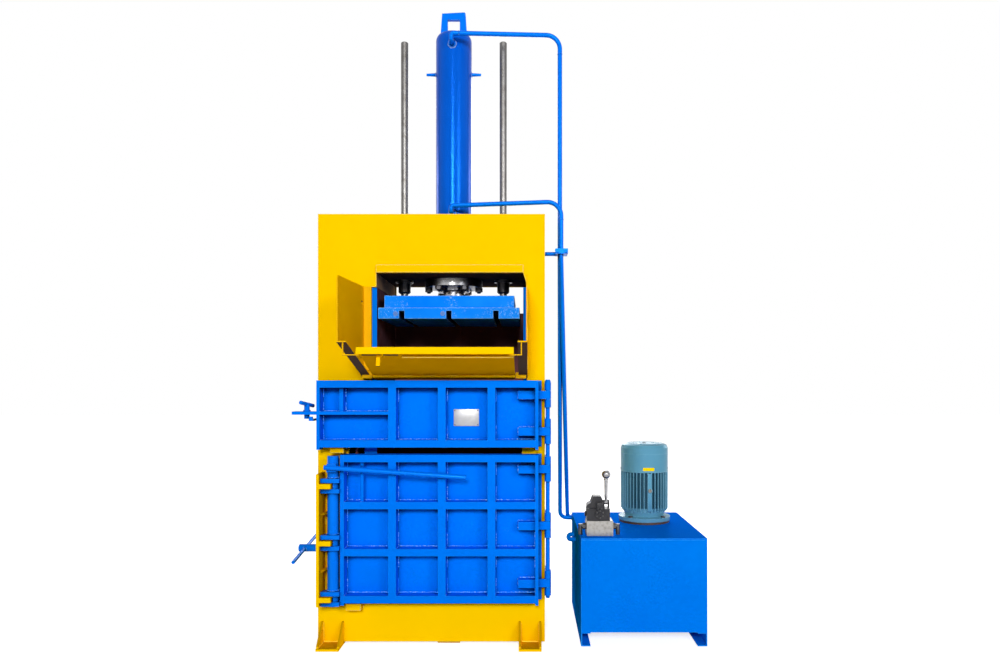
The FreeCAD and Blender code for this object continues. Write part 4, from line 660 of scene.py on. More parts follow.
def motor_enamels() -> dict[Paint, Finish]:
    """List the motor's finishes.

    Returns:
        Finish for each name.
    """
    motor = {"scuff": MOTOR_SCUFF, "sheen": MOTOR_SHEEN, "gloss": 0.3, "peel": 0.1,
             "edge_width": 0.0025, "specular": 0.15}
    return {
        Paint.MOTOR: Enamel((0.12, 0.35, 0.49), (0.09, 0.28, 0.42), edge=(0.3, 0.58, 0.72),
                            **motor, edge_share=0.7, round_edge=0.0012),
        Paint.FINS: Enamel((0.13, 0.36, 0.5), (0.1, 0.3, 0.43), edge=(0.36, 0.68, 0.82), **motor,
                           edge_share=0.8, round_edge=0.0008,
                           # painted shade in the grooves between the fins
                           groove=((1.111, 0.182, 0.655), 0.122, 0.135),
                           groove_shade_colour=(0.02, 0.08, 0.125)),
        Paint.STICKER: Enamel((1.0, 0.72, 0.0), (0.9, 0.62, 0.0), (1.0, 0.8, 0.3),
                              (1.0, 0.7, 0.1), YELLOW_SHEEN, gloss=0.5, peel=0.01,
                              round_edge=0.0003, edge_width=0.0006),
    }


def metals() -> dict[Paint, Finish]:
    """List the steels, castings and seals.

    Returns:
        Finish for each name.
    """
    return {
        Paint.ROD_STEEL: Metal((0.16, 0.155, 0.15), (0.07, 0.06, 0.05), 0.35),
        Paint.POLISHED: Metal((0.24, 0.24, 0.26), (0.09, 0.09, 0.1), 0.22, bump=0.03,
                              stain_share=0.5),
        Paint.BLACK_STEEL: Metal((0.03, 0.03, 0.035), (0.08, 0.06, 0.05), 0.35, metallic=0.7),
        Paint.FLANGE: TurnedFlange((0.36, 0.36, 0.37), (0.03, 0.03, 0.045)),
        Paint.ZINC: Metal((0.22, 0.21, 0.2), (0.1, 0.08, 0.06), 0.34),
        Paint.DARK_ZINC: Metal((0.1, 0.1, 0.1), (0.03, 0.028, 0.025), 0.34, metallic=0.85),
        Paint.GASKET: Metal((0.05, 0.03, 0.02), (0.16, 0.06, 0.02), 0.5, metallic=0.1),
        Paint.MILLED: Metal((0.33, 0.32, 0.3), (0.17, 0.155, 0.14), 0.4, grain=(12.0, 1.0, 1.0),
                            stain_share=0.75, stain_scale=60.0, metallic=0.75),
        Paint.CASTING: Metal((0.02, 0.02, 0.024), (0.045, 0.045, 0.047), 0.42, metallic=0.1,
                             grain=EVEN_GRAIN, grain_scale=300.0, bump=0.5, specular=0.25),
        Paint.CHROME: Metal((0.3, 0.3, 0.31), (0.1, 0.1, 0.1), 0.16, bump=0.02, stain_share=0.6,
                            stain_scale=70.0),
        Paint.PLATE: Metal((0.42, 0.42, 0.42), (0.28, 0.27, 0.26), 0.38, grain=(1.0, 1.0, 60.0),
                           bump=0.05, stain_share=0.4, metallic=0.5),
        Paint.SEAL: Metal((0.012, 0.012, 0.014), (0.03, 0.025, 0.02), 0.5, metallic=0.0,
                          grain=EVEN_GRAIN),
    }


def weld_enamels() -> dict[Paint, Finish]:
    """List the finishes of painted welds.

    Returns:
        Finish for each name.
    """
    weld = {"peel_scale": 500.0, "round_edge": 0.0006}
    return {
        Paint.WELD_BLUE: Enamel((0.0, 0.15, 0.8), BLUE, (0.3, 0.6, 1.0), BLUE_LIGHT, BLUE_SHEEN,
                                **weld, gloss=0.24, peel=0.35, specular=0.12, scuffs=1.0,
                                speck=(0.52, 0.58), speck_scale=130.0, patch=(0.35, 0.5)),
        Paint.WELD_YELLOW: Enamel(YELLOW, (0.9, 0.5, 0.0), (1.0, 0.8, 0.3), (1.0, 0.74, 0.12),
                                  YELLOW_SHEEN, **weld, gloss=0.28, peel=0.35, specular=0.3),
        Paint.SPATTER: Enamel((0.05, 0.22, 0.75), (0.16, 0.2, 0.35), WHITE, (0.5, 0.7, 1.0),
                              BLUE_SHEEN, **weld, gloss=0.35, peel=0.4, scuffs=1.0),
    }


def finishes() -> dict[Paint, bpy.types.Material]:
    """Build every finish once.

    Returns:
        Material for each named finish.
    """
    listed = frame_enamels() | blue_enamels() | motor_enamels() | metals() | weld_enamels()
    return {paint: finish.build(paint.value) for paint, finish in listed.items()}


NODE_FINISH: dict[Paint, list[str]] = {
    Paint.YELLOW: ["front_plate", "back_plate", "left_side_plate", "right_side_plate",
                   "bed_beam"],
    Paint.PLATE_STOCK: ["lock_plate"],
    Paint.CROWN: ["crown_beam"],
    Paint.WING: ["left_wing", "right_wing", "flap_bolt"],
    Paint.FLAP: ["feed_flap"],
    Paint.BLUE: ["lifting_eye", "stop_pegs", "lock_brackets", "lock_shaft", "hinge_knuckles",
                 "hinge_rod", "upper_pipe", "lower_pipe", "pipe_unions", "pipe_clamp",
                 "upper_latch", "latch_keeper", "release_screw", "tommy_bar"],
    Paint.BARREL: ["cylinder_barrel"],
    Paint.DOOR_BLUE: ["upper_door", "upper_door_grid", "lower_door", "lower_door_grid"],
    Paint.PLATEN: ["platen_plate", "platen_box"],
    Paint.WALL: ["release_wall", "chamber_right_wall"],
    Paint.LINER: ["upper_liner"],
    Paint.OXIDE: ["chamber_back_wall", "wear_strip", "inner_column_plate"],
    Paint.TANK: ["tank"],
    Paint.LID: ["tank_lid"],
    Paint.ROD_STEEL: ["guide_rods", "thrust_cup", "motor_rotor", "motor_bearings"],
    Paint.POLISHED: ["piston_rod", "cylinder_gland"],
    Paint.BLACK_STEEL: ["flange_studs", "guide_bushes", "bush_bolts", "pump"],
    Paint.FLANGE: ["cylinder_flange"],
    Paint.MOTOR: ["fan_cover"],
    Paint.FINS: ["motor_body"],
    Paint.FOOT: ["feet"],
    Paint.DARK_ZINC: ["motor_bolts", "manifold_fittings"],
    Paint.GASKET: ["motor_adapter"],
    Paint.MILLED: ["manifold_block"],
    Paint.CASTING: ["valve_body"],
    Paint.CHROME: ["valve_lever"],
}


# ---------------------------------------------------------------- mesh building
class Maker:
    """Turns finished meshes into smooth-shaded pieces that ride on the machine's bodies."""

    SMOOTH_ANGLE = math.radians(40.0)

    def __init__(self, paints: dict[Paint, bpy.types.Material]) -> None:
        """Keep the material of each finish."""
        self.paints = paints

    def place(self, mesh: Mesh, name: str, paint: Paint, body: Body, slot: Slot) -> None:
        """Turn a finished mesh into an object that rides on a body.

        Args:
            mesh: The mesh, which is freed.
            name: The object's name.
            paint: Its finish.
            body: The body it moves with.
            slot: The record's material slot it belongs to; not used.
        """
        data = bpy.data.meshes.new(name)
        bmesh.ops.recalc_face_normals(mesh, faces=mesh.faces)
        for face in mesh.faces:
            face.smooth = True
        for edge in mesh.edges:
            if len(edge.link_faces) == 2:
                edge.smooth = edge.calc_face_angle(0.0) < self.SMOOTH_ANGLE
        mesh.to_mesh(data)
        mesh.free()
        data.materials.append(self.paints[paint])
        piece = bpy.data.objects.new(name, data)
        bpy.context.scene.collection.objects.link(piece)
        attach(piece, body.value)
        LOG.info("made %s, %d faces, on %s", name, len(data.polygons), body.value)


def lathe(mesh: Mesh, profile: Profile, centre: Point, axis: Point = UP,
          segments: int = 48) -> None:
    """Add a turned piece to a mesh.

    Args:
        mesh: The mesh to add to.
        profile: Radius and height of each corner, from the bottom to the top.
        centre: Where the profile's zero height lies.
        axis: Direction of the axis.
        segments: Faces round the axis.
    """
    turn = Vector(UP).rotation_difference(Vector(axis)).to_matrix().to_4x4()
    place = Matrix.Translation(centre) @ turn
    rings: list[list[bmesh.types.BMVert]] = []
    for radius, height in profile:
        if radius == 0.0:
            rings.append([mesh.verts.new(place @ Vector((0.0, 0.0, height)))])
            continue
        ring = []
        for index in range(segments):
            angle = 2 * math.pi * index / segments
            local = Vector((radius * math.cos(angle), radius * math.sin(angle), height))
            ring.append(mesh.verts.new(place @ local))
        rings.append(ring)
    for low, high in zip(rings, rings[1:]):
        for index in range(segments):
            following = (index + 1) % segments
            corners = [low[index % len(low)], low[following % len(low)],
                       high[following % len(high)], high[index % len(high)]]
            unique = list(dict.fromkeys(corners))
            if len(unique) > 2:
                mesh.faces.new(unique)


def disc(mesh: Mesh, radius: float, height: float, centre: Point, axis: Point) -> None:
    """Add a flat round disc to a mesh.

    Args:
        mesh: The mesh to add to.
        radius: Radius of the disc.
        height: Its thickness.
        centre: Middle of its seat.
        axis: Direction it stands in.
    """
    lathe(mesh, [(0.0, 0.0), (radius, 0.0), (radius, height), (0.0, height)], centre, axis, 32)


def slab(mesh: Mesh, low: Point, high: Point, bevel: float, steps: int = 2) -> None:
    """Add a block with rounded edges to a mesh.

    Args:
        mesh: The mesh to add to.
        low: Lowest corner.
        high: Highest corner.
        bevel: Radius of the edges.
        steps: Faces across each rounded edge.
    """
    size = [b - a for a, b in zip(low, high)]
    middle = [(a + b) / 2 for a, b in zip(low, high)]
    matrix = Matrix.Translation(middle) @ Matrix.Diagonal((*size, 1.0))
    made = bmesh.ops.create_cube(mesh, size=1.0, matrix=matrix)
    edges = {edge for vert in made["verts"] for edge in vert.link_edges}
    bmesh.ops.bevel(mesh, geom=list(edges), offset=bevel, segments=steps, affect="EDGES",
                    profile=0.5)


def hex_head(mesh: Mesh, across: float, height: float, centre: Point, axis: Point) -> None:
    """Add a hexagonal head with a chamfered top to a mesh.

    Args:
        mesh: The mesh to add to.
        across: Size across the flats.
        height: Height of the head.
        centre: Middle of its seat.
        axis: Direction it stands in.
    """
    corner = across / math.sqrt(3)
    profile = [(0.0, 0.0), (corner, 0.0), (corner, height * 0.82), (corner * 0.86, height),
               (0.0, height)]
    lathe(mesh, profile, centre, axis, 6)


def socket_head(mesh: Mesh, radius: float, height: float, centre: Point, axis: Point) -> None:
    """Add a round screw head with a recess for the key to a mesh.

    Args:
        mesh: The mesh to add to.
        radius: Radius of the head.
        height: Height of the head.
        centre: Middle of its seat.
        axis: Direction it stands in.
    """
    profile = [(0.0, 0.0), (radius, 0.0), (radius, height * 0.85), (radius * 0.9, height),
               (radius * 0.55, height), (radius * 0.52, height * 0.45), (0.0, height * 0.4)]
    lathe(mesh, profile, centre, axis, 18)


def thread(mesh: Mesh, radius: float, pitch: float, length: float, centre: Point,
           axis: Point) -> None:
    """Add a threaded end to a mesh.

    Args:
        mesh: The mesh to add to.
        radius: Radius over the crests.
        pitch: Distance between crests.
        length: Length of the thread.
        centre: Middle of its foot.
        axis: Direction it stands in.
    """
    root = radius - pitch * 0.55
    profile = [(0.0, 0.0), (root, 0.0)]
    for index in range(max(1, int(length / pitch))):
        foot = index * pitch
        profile += [(radius, foot + pitch * 0.5), (root, foot + pitch)]
    end = profile[-1][1] + pitch * 0.6
    lathe(mesh, profile + [(root * 0.8, end), (0.0, end)], centre, axis, 24)


def circle(count: int, radius: float, start: float = 0.0) -> list[Span]:
    """Spread places evenly round a circle.

    Args:
        count: How many places.
        radius: Radius of the circle.
        start: Angle of the first place in degrees.

    Returns:
        Both offsets of each place from the circle's centre.
    """
    turns = [math.radians(360 * index / count + start) for index in range(count)]
    return [(radius * math.cos(turn), radius * math.sin(turn)) for turn in turns]


@dataclass
class WeldSeam:
    """Rippled fillet weld along a straight corner."""

    start: Point
    end: Point
    out_a: Point
    out_b: Point
    leg: float = 0.005
    pitch: float = 0.004
    sunk: float = 0.0012
    crown: float = 0.62

    def add(self, mesh: Mesh) -> None:
        """Add the seam to a mesh.

        Args:
            mesh: The mesh to add to.
        """
        first, last = Vector(self.start), Vector(self.end)
        side_a, side_b = Vector(self.out_a), Vector(self.out_b)
        length = (last - first).length
        steps = max(2, int(length / self.pitch))
        sunk = (side_a + side_b) * -self.sunk
        rows = []
        for index in range(steps + 1):
            wave = 0.12 * math.sin(index * 2.1) + 0.08 * math.sin(index * 0.73 + length * 40)
            leg = self.leg * (1.0 + wave) * (0.6 if index in (0, steps) else 1.0)
            base = first.lerp(last, index / steps)
            row = [base + side_a * leg + sunk * 0.4, base + (side_a + side_b) * leg * self.crown,
                   base + side_b * leg + sunk * 0.4, base + sunk]
            rows.append([mesh.verts.new(point) for point in row])
        for low, high in zip(rows, rows[1:]):
            for index in range(4):
                following = (index + 1) % 4
                mesh.faces.new([low[index], low[following], high[following], high[index]])
        mesh.faces.new(rows[0])
        mesh.faces.new(list(reversed(rows[-1])))


@dataclass
class WeldRing:
    """Lumpy bead round a tube, or round a branch that meets a larger drum."""

    centre: Point
    axis: Point
    radius: float
    bead: float
    drum: float = 0.0
    lumps: float = 0.16
    steps: int = 64
    corners: int = 8

    def add(self, mesh: Mesh) -> None:
        """Add the bead to a mesh.

        Args:
            mesh: The mesh to add to.
        """
        turn = Vector(UP).rotation_difference(Vector(self.axis)).to_matrix()
        middle, up = Vector(self.centre), turn @ Vector(UP)
        rings = []
        for index in range(self.steps):
            angle = 2 * math.pi * index / self.steps
            wave = math.sin(index * 1.9) * 0.5 + math.sin(index * 0.61 + self.radius * 300) * 0.5
            bead = self.bead * (1.0 + self.lumps * wave)
            out = turn @ Vector((math.cos(angle), math.sin(angle), 0.0))
            side = out.x if abs(up.y) > 0.5 else out.y
            sag = 0.0
            if self.drum:
                sag = self.drum - math.sqrt(self.drum ** 2 - (side * self.radius) ** 2)
            hub = middle + out * self.radius - up * sag
            ring = []
            for corner in range(self.corners):
                bend = 2 * math.pi * corner / self.corners
                offset = out * math.cos(bend) * bead + up * math.sin(bend) * bead * 0.8
                ring.append(mesh.verts.new(hub + offset))
            rings.append(ring)
        for index, ring in enumerate(rings):
            following = rings[(index + 1) % self.steps]
            for corner in range(self.corners):
                other = (corner + 1) % self.corners
                mesh.faces.new([ring[corner], ring[other], following[other], following[corner]])


def box_seams(mesh: Mesh, box: tuple[Point, Point], face_leg: float, side_leg: float) -> None:
    """Weld a block to what it stands on, all round its foot.

    Args:
        mesh: The mesh to add to.
        box: Lowest and highest corner of the block.
        face_leg: Size of the seams along its front and back.
        side_leg: Size of the seams along its sides.
    """
    low, high = box
    for y, out in ((low[1], FRONT), (high[1], BACK)):
        WeldSeam((low[0], y, low[2]), (high[0], y, low[2]), out, UP, face_leg).add(mesh)
    for x, out in ((low[0], LEFT), (high[0], RIGHT)):
        WeldSeam((x, low[1], low[2]), (x, high[1], low[2]), out, UP, side_leg).add(mesh)


@dataclass(frozen=True)
class Plan:
    """One piece of a sub-assembly: what shapes it, its finish, and where it belongs."""

    name: str
    shape: Callable[[Mesh], None]
    paint: Paint
    body: Body
    slot: Slot


class SubAssembly:
    """A group of small pieces that are shaped and dressed in order."""

    def plans(self) -> list[Plan]:
        """List the pieces, in the order that they are made."""
        raise NotImplementedError

    def build(self, maker: Maker) -> None:
        """Shape and dress every piece.

        Args:
            maker: Takes the finished meshes.
        """
        for plan in self.plans():
            mesh = bmesh.new()
            plan.shape(mesh)
            maker.place(mesh, plan.name, plan.paint, plan.body, plan.slot)


# ---------------------------------------------------------------- sub-assemblies
@dataclass
class PressFrame(SubAssembly):
    """Weld seams of the plate frame, its feet, its lip bar and the lock plate."""

    front: float = -0.3
    back: float = 0.3
    sole_top: float = 0.012
    feet: tuple[Span, ...] = ((-0.67, -0.552), (0.372, 0.49))
    gusset: float = 0.01
    gusset_top: float = 0.112
    gusset_reach: float = 0.108
    corner_gap: float = 0.004
    lip: Span = (-0.407, 0.396)
    lip_rise: float = 0.041
    lip_stitches: int = 6
    lip_inset: float = 0.03
    lip_stitch: float = 0.07
    lock_plate: float = -0.65
    stitches: tuple[Span, ...] = ((0.262, 0.34), (0.44, 0.5), (0.63, 0.69), (0.79, 0.85))

    def plans(self) -> list[Plan]:
        """List the frame's seams.

        Returns:
            The seams.
        """
        return [
            Plan("foot_welds", self.foot_seams, Paint.WELD_YELLOW, Body.FRAME, Slot.YELLOW),
            Plan("lock_plate_welds", self.plate_seams, Paint.WELD_YELLOW, Body.FRAME,
                 Slot.YELLOW),
        ]

    def foot_seams(self, mesh: Mesh) -> None:
        """Weld the feet and their gussets to the plates.

        Args:
            mesh: The mesh to add to.
        """
        sole = self.sole_top
        for edge, out in ((self.front, -1.0), (self.back, 1.0)):
            way = (0.0, out, 0.0)
            near, far = edge + out * self.corner_gap, edge + out * self.gusset_reach
            for foot_left, foot_right in self.feet:
                left, right = foot_left + self.gusset, foot_right - self.gusset
                WeldSeam((left, edge, sole), (right, edge, sole), way, UP, leg=0.006).add(mesh)
                for x, side in ((left, RIGHT), (right, LEFT)):
                    WeldSeam((x, edge, sole + self.corner_gap), (x, edge, self.gusset_top), side,
                             way).add(mesh)
                    WeldSeam((x, near, sole), (x, far, sole), side, UP).add(mesh)

    def plate_seams(self, mesh: Mesh) -> None:
        """Weld the lock plate, and the lip bar over the feed window, in stitches.

        Args:
            mesh: The mesh to add to.
        """
        for low, high in self.stitches:
            WeldSeam((self.lock_plate, self.front, low), (self.lock_plate, self.front, high),
                     RIGHT, FRONT, leg=0.006).add(mesh)
        _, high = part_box("cylinder_flange")
        height = high[2] + self.lip_rise
        left, right = self.lip
        step = (right - left) / self.lip_stitches
        for index in range(self.lip_stitches):
            start = left + index * step + self.lip_inset
            WeldSeam((start, self.front, height), (start + self.lip_stitch, self.front, height),
                     FRONT, UP, leg=0.003).add(mesh)


@dataclass
class PressCylinder(SubAssembly):
    """Beads, washers and threads round the press cylinder."""

    radius: float = 0.101
    ports: Span = (3.261, 2.317)
    socket: float = 0.0205
    peg_height: float = 3.129
    peg: float = 0.0105
    studs: int = 6
    stud_circle: float = 0.142
    washer: Span = (0.0178, 0.0022)             # radius and thickness
    washer_seat: float = 1.9128
    thread: tuple[float, float, float] = (0.0126, 0.0022, 0.006)     # radius, pitch, length
    thread_foot: float = 1.8945

    def plans(self) -> list[Plan]:
        """List the cylinder's small pieces.

        Returns:
            The pieces.
        """
        return [
            Plan("port_and_peg_welds", self.beads, Paint.SPATTER, Body.FRAME, Slot.BLUE),
            Plan("lifting_eye_welds", self.eye_seams, Paint.WELD_BLUE, Body.FRAME, Slot.BLUE),
            Plan("flange_washers", self.washers, Paint.POLISHED, Body.FRAME, Slot.POLISHED),
            Plan("flange_stud_threads", self.threads, Paint.BLACK_STEEL, Body.FRAME, Slot.DARK),
        ]

    def beads(self, mesh: Mesh) -> None:
        """Run beads round the port sockets and the stop pegs.

        Args:
            mesh: The mesh to add to.
        """
        for height in self.ports:
            WeldRing((0.0, -self.radius, height), FRONT, self.socket, bead=0.0055,
                     drum=self.radius, lumps=0.35).add(mesh)
        for side in (-1.0, 1.0):
            WeldRing((side * self.radius, 0.0, self.peg_height), (side, 0.0, 0.0), self.peg,
                     bead=0.0035, drum=self.radius).add(mesh)

    def eye_seams(self, mesh: Mesh) -> None:
        """Weld the lifting eye to the barrel's cap all round."""
        box_seams(mesh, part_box("lifting_eye"), face_leg=0.007, side_leg=0.006)

    def washers(self, mesh: Mesh) -> None:
        """Lay a bright washer on each flange nut."""
        for x, y in circle(self.studs, self.stud_circle):
            disc(mesh, *self.washer, (x, y, self.washer_seat), UP)

    def threads(self, mesh: Mesh) -> None:
        """Run a thread on each stud's end."""
        for x, y in circle(self.studs, self.stud_circle):
            thread(mesh, *self.thread, (x, y, self.thread_foot), DOWN)


@dataclass
class Platen(SubAssembly):
    """Seams, plug welds and rod flange screws of the platen."""

    plug_places: Span = (-0.283, -0.0324)
    plug_height: float = 1.7466
    plug: float = 0.0125
    rod_screws: int = 8
    rod_screw_circle: float = 0.083
    rod_flange: float = 0.03
    screw: Span = (0.009, 0.009)                # radius and height of the head
    guide: float = 0.0205
    guide_spacing: float = 0.56

    def plans(self) -> list[Plan]:
        """List the platen's small pieces.

        Returns:
            The pieces.
        """
        return [
            Plan("platen_plug_welds", self.plugs, Paint.SPATTER, Body.PLATEN, Slot.BLUE),
            Plan("platen_welds", self.seams, Paint.WELD_BLUE, Body.PLATEN, Slot.BLUE),
            Plan("rod_flange_screws", self.screws, Paint.ZINC, Body.PLATEN, Slot.POLISHED),
        ]

    def plugs(self, mesh: Mesh) -> None:
        """Fill the plug welds in the platen's front edge.

        Args:
            mesh: The mesh to add to.
        """
        low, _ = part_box("platen_plate")
        profile = [(self.plug, -0.001), (self.plug, 0.0006), (self.plug * 0.8, 0.0016),
                   (self.plug * 0.5, 0.0008), (0.0, 0.0003)]
        for x in self.plug_places:
            lathe(mesh, profile, (x, low[1], self.plug_height), FRONT, 28)

    def seams(self, mesh: Mesh) -> None:
        """Weld the box to the plate and the guide rods to the box.

        Args:
            mesh: The mesh to add to.
        """
        low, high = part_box("platen_box")
        box_seams(mesh, (low, high), face_leg=0.005, side_leg=0.005)
        for side in (-1.0, 1.0):
            WeldRing((side * self.guide_spacing / 2, 0.0, high[2]), UP, self.guide,
                     bead=0.004).add(mesh)

    def screws(self, mesh: Mesh) -> None:
        """Set the screws in the rod's flange.

        Args:
            mesh: The mesh to add to.
        """
        _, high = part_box("platen_box")
        seat = high[2] + self.rod_flange
        for x, y in circle(self.rod_screws, self.rod_screw_circle, 180 / self.rod_screws):
            socket_head(mesh, *self.screw, (x, y, seat), UP)


@dataclass
class Hopper(SubAssembly):
    """Seams of the hopper wings and of the feed flap, and the flap rib's folded flange."""

    front: float = -0.3
    left_root: float = -0.451
    right_root: float = 0.417
    stitches: tuple[Span, ...] = ((1.45, 1.52), (1.6, 1.67), (1.75, 1.82))
    pivot: Span = (-0.32, 1.418)
    open_angle: float = 17.6
    bar: float = 0.016
    plate: float = 0.005
    flap: Span = (-0.393, 0.352)
    rib_start: float = -0.181
    rib_reach: float = 0.382
    rib_foot: float = 0.027
    rib_flange_drop: float = 0.012
    rib_flange_half: float = 0.0035
    rib_flange_gap: float = 0.002
    stitch_step: float = 0.12
    rib_stitch: float = 0.05
    bar_stitch: float = 0.06
    bar_stitch_start: float = 0.03

    def plans(self) -> list[Plan]:
        """List the hopper's small pieces.

        Returns:
            The pieces.
        """
        return [
            Plan("flap_rib_flange", self.rib_flange, Paint.YELLOW, Body.FLAP, Slot.YELLOW),
            Plan("wing_welds", self.wing_seams, Paint.WELD_YELLOW, Body.FRAME, Slot.YELLOW),
            Plan("flap_welds", self.flap_seams, Paint.WELD_YELLOW, Body.FLAP, Slot.YELLOW),
        ]

    def turned(self, y: float, z: float) -> Point:
        """Direction on the flap, turned with it to its open angle.

        Args:
            y: Part along Y before the turn.
            z: Part along Z before the turn.

        Returns:
            The direction.
        """
        angle = math.radians(-self.open_angle)
        return (0.0, y * math.cos(angle) - z * math.sin(angle),
                y * math.sin(angle) + z * math.cos(angle))

    def tilted(self, x: float, reach: float) -> Point:
        """Place under the flap's plate, at x along the hinge and reach in front of the pivot."""
        _, y, z = self.turned(-reach, -self.plate)
        return (x, self.pivot[0] + y, self.pivot[1] + z)

    def rib_flange(self, mesh: Mesh) -> None:
        """Fold the flange along the foot of the flap's rib.

        Args:
            mesh: The mesh to add to.
        """
        reach, foot, half = self.rib_reach, self.rib_foot, self.rib_flange_half
        gap = self.rib_flange_gap
        slab(mesh, (self.rib_start, -reach - half, -foot - self.rib_flange_drop),
             (self.flap[1] - gap, -reach + half, -foot + gap), bevel=0.0012)
        turn = Matrix.Rotation(math.radians(-self.open_angle), 4, "X")
        place = Matrix.Translation((0.0, *self.pivot)) @ turn
        bmesh.ops.transform(mesh, matrix=place, verts=mesh.verts)

    def wing_seams(self, mesh: Mesh) -> None:
        """Weld both wings to the front plate in stitches.

        Args:
            mesh: The mesh to add to.
        """
        for x, side in ((self.left_root, LEFT), (self.right_root, RIGHT)):
            for low, high in self.stitches:
                WeldSeam((x, self.front, low), (x, self.front, high), side, FRONT).add(mesh)

    def stitch_row(self, mesh: Mesh, start: float, length: float, reach: float,
                   side: float) -> None:
        """Run a row of stitches along the flap's width.

        Args:
            mesh: The mesh to add to.
            start: Where the first stitch starts.
            length: Length of a stitch.
            reach: Distance in front of the pivot.
            side: 1 where the seam faces away from the hinge, -1 where it faces the hinge.
        """
        place = start
        while place + length < self.flap[1]:
            WeldSeam(self.tilted(place, reach), self.tilted(place + length, reach),
                     self.turned(-side, 0.0), self.turned(0.0, -1.0), leg=0.004).add(mesh)
            place += self.stitch_step

    def flap_seams(self, mesh: Mesh) -> None:
        """Weld the rib and the hinge bar under the flap's plate.

        Args:
            mesh: The mesh to add to.
        """
        for side, shift in ((1.0, 0.0), (-1.0, self.rib_stitch)):
            reach = self.rib_reach + side * self.plate / 2
            self.stitch_row(mesh, self.rib_start + shift, self.rib_stitch, reach, side)
        start = self.flap[0] + self.bar_stitch_start
        self.stitch_row(mesh, start, self.bar_stitch, self.bar, 1.0)


@dataclass
class Bay:
    """One framed bay of a door."""

    left: float
    right: float
    low: float
    high: float
    stitch: float = 0.07
    corner: float = 0.004
    top_gap: float = 0.006
    rib_near: float = 0.002
    rib_far: float = 0.07

    def seams(self, mesh: Mesh, skin: float) -> None:
        """Weld the bay's skin to its ribs and lower rail, and the ribs to that rail.

        Args:
            mesh: The mesh to add to.
            skin: Y of the skin's outer face.
        """
        WeldSeam((self.left, skin, self.low), (self.right, skin, self.low), FRONT,
                 UP).add(mesh)
        ribs = ((self.left, RIGHT), (self.right, LEFT))
        for x, side in ribs:
            for start in (self.low + self.corner, self.high - self.stitch - self.top_gap):
                WeldSeam((x, skin, start), (x, skin, start + self.stitch), FRONT,
                         side).add(mesh)
        for x, side in ribs:
            WeldSeam((x, skin - self.rib_near, self.low), (x, skin - self.rib_far, self.low),
                     side, UP, leg=0.0035).add(mesh)


@dataclass
class Door(SubAssembly):
    """A bale door's bays and the seams of its hinge straps."""

    name: str
    body: Body
    bays: list[Bay]
    straps: tuple[float, ...]
    skin: float = -0.312
    strap_half: float = 0.021
    strap_span: Span = (0.37, 0.458)

    def plans(self) -> list[Plan]:
        """List the door's seams.

        Returns:
            The seams.
        """
        return [
            Plan(f"{self.name}_bay_welds", self.bay_seams, Paint.WELD_BLUE, self.body,
                 Slot.BLUE),
            Plan(f"{self.name}_strap_welds", self.strap_seams, Paint.WELD_BLUE, self.body,
                 Slot.BLUE),
        ]

    def bay_seams(self, mesh: Mesh) -> None:
        """Weld every bay."""
        for bay in self.bays:
            bay.seams(mesh, self.skin)

    def strap_seams(self, mesh: Mesh) -> None:
        """Weld the straps to the skin above, below and at their ends.

        Args:
            mesh: The mesh to add to.
        """
        left, right = self.strap_span
        for height in self.straps:
            low, high = height - self.strap_half, height + self.strap_half
            for z, side in ((low, DOWN), (high, UP)):
                WeldSeam((left, self.skin, z), (right, self.skin, z), FRONT, side,
                         leg=0.006).add(mesh)
            WeldSeam((left, self.skin, low), (left, self.skin, high), FRONT, LEFT,
                     leg=0.006).add(mesh)


@dataclass
class UpperDoor(SubAssembly):
    """Upper door: its seams and the bare plate riveted to it."""

    columns: tuple[Span, ...] = ((-0.263, -0.046), (-0.006, 0.211), (0.251, 0.458))
    rows: Span = (1.0815, 1.354)
    ear: Span = (1.214, 1.23)
    short_rib: Span = (-0.56, -0.54)
    outer: Span = (-0.658, -0.303)
    straps: Span = (1.316, 1.125)
    plate_low: Point = (0.029, -0.3134, 1.152)
    plate_high: Point = (0.162, -0.312, 1.24)
    rivet: float = 0.0035
    rivet_inset: float = 0.006

    def bays(self) -> list[Bay]:
        """List the door's bays.

        Returns:
            The bays.
        """
        low, high = self.rows
        found = [Bay(left, right, low, high) for left, right in self.columns]
        found.append(Bay(*self.outer, low, self.ear[0], stitch=0.05))
        found.append(Bay(self.outer[0], self.short_rib[0], self.ear[1], high, stitch=0.045))
        found.append(Bay(self.short_rib[1], self.outer[1], self.ear[1], high, stitch=0.045))
        return found

    def plans(self) -> list[Plan]:
        """List the door's small pieces.

        Returns:
            The pieces.
        """
        door = Door("upper_door", Body.UPPER_DOOR, self.bays(), self.straps)
        return door.plans() + [
            Plan("bare_nameplate", self.nameplate, Paint.PLATE, Body.UPPER_DOOR, Slot.ZINC),
            Plan("nameplate_rivets", self.rivets, Paint.POLISHED, Body.UPPER_DOOR, Slot.ZINC),
        ]

    def nameplate(self, mesh: Mesh) -> None:
        """Lay a bare plate on the skin."""
        slab(mesh, self.plate_low, self.plate_high, bevel=0.0005)

    def rivets(self, mesh: Mesh) -> None:
        """Set a rivet in each corner of the plate.

        Args:
            mesh: The mesh to add to.
        """
        low, high, inset, r = self.plate_low, self.plate_high, self.rivet_inset, self.rivet
        profile = [(0.0, -0.0005), (r, 0.0), (r * 0.92, r * 0.3), (r * 0.6, r * 0.6),
                   (0.0, r * 0.7)]
        for x in (low[0] + inset, high[0] - inset):
            for z in (low[2] + inset, high[2] - inset):
                lathe(mesh, profile, (x, low[1], z), FRONT, 20)


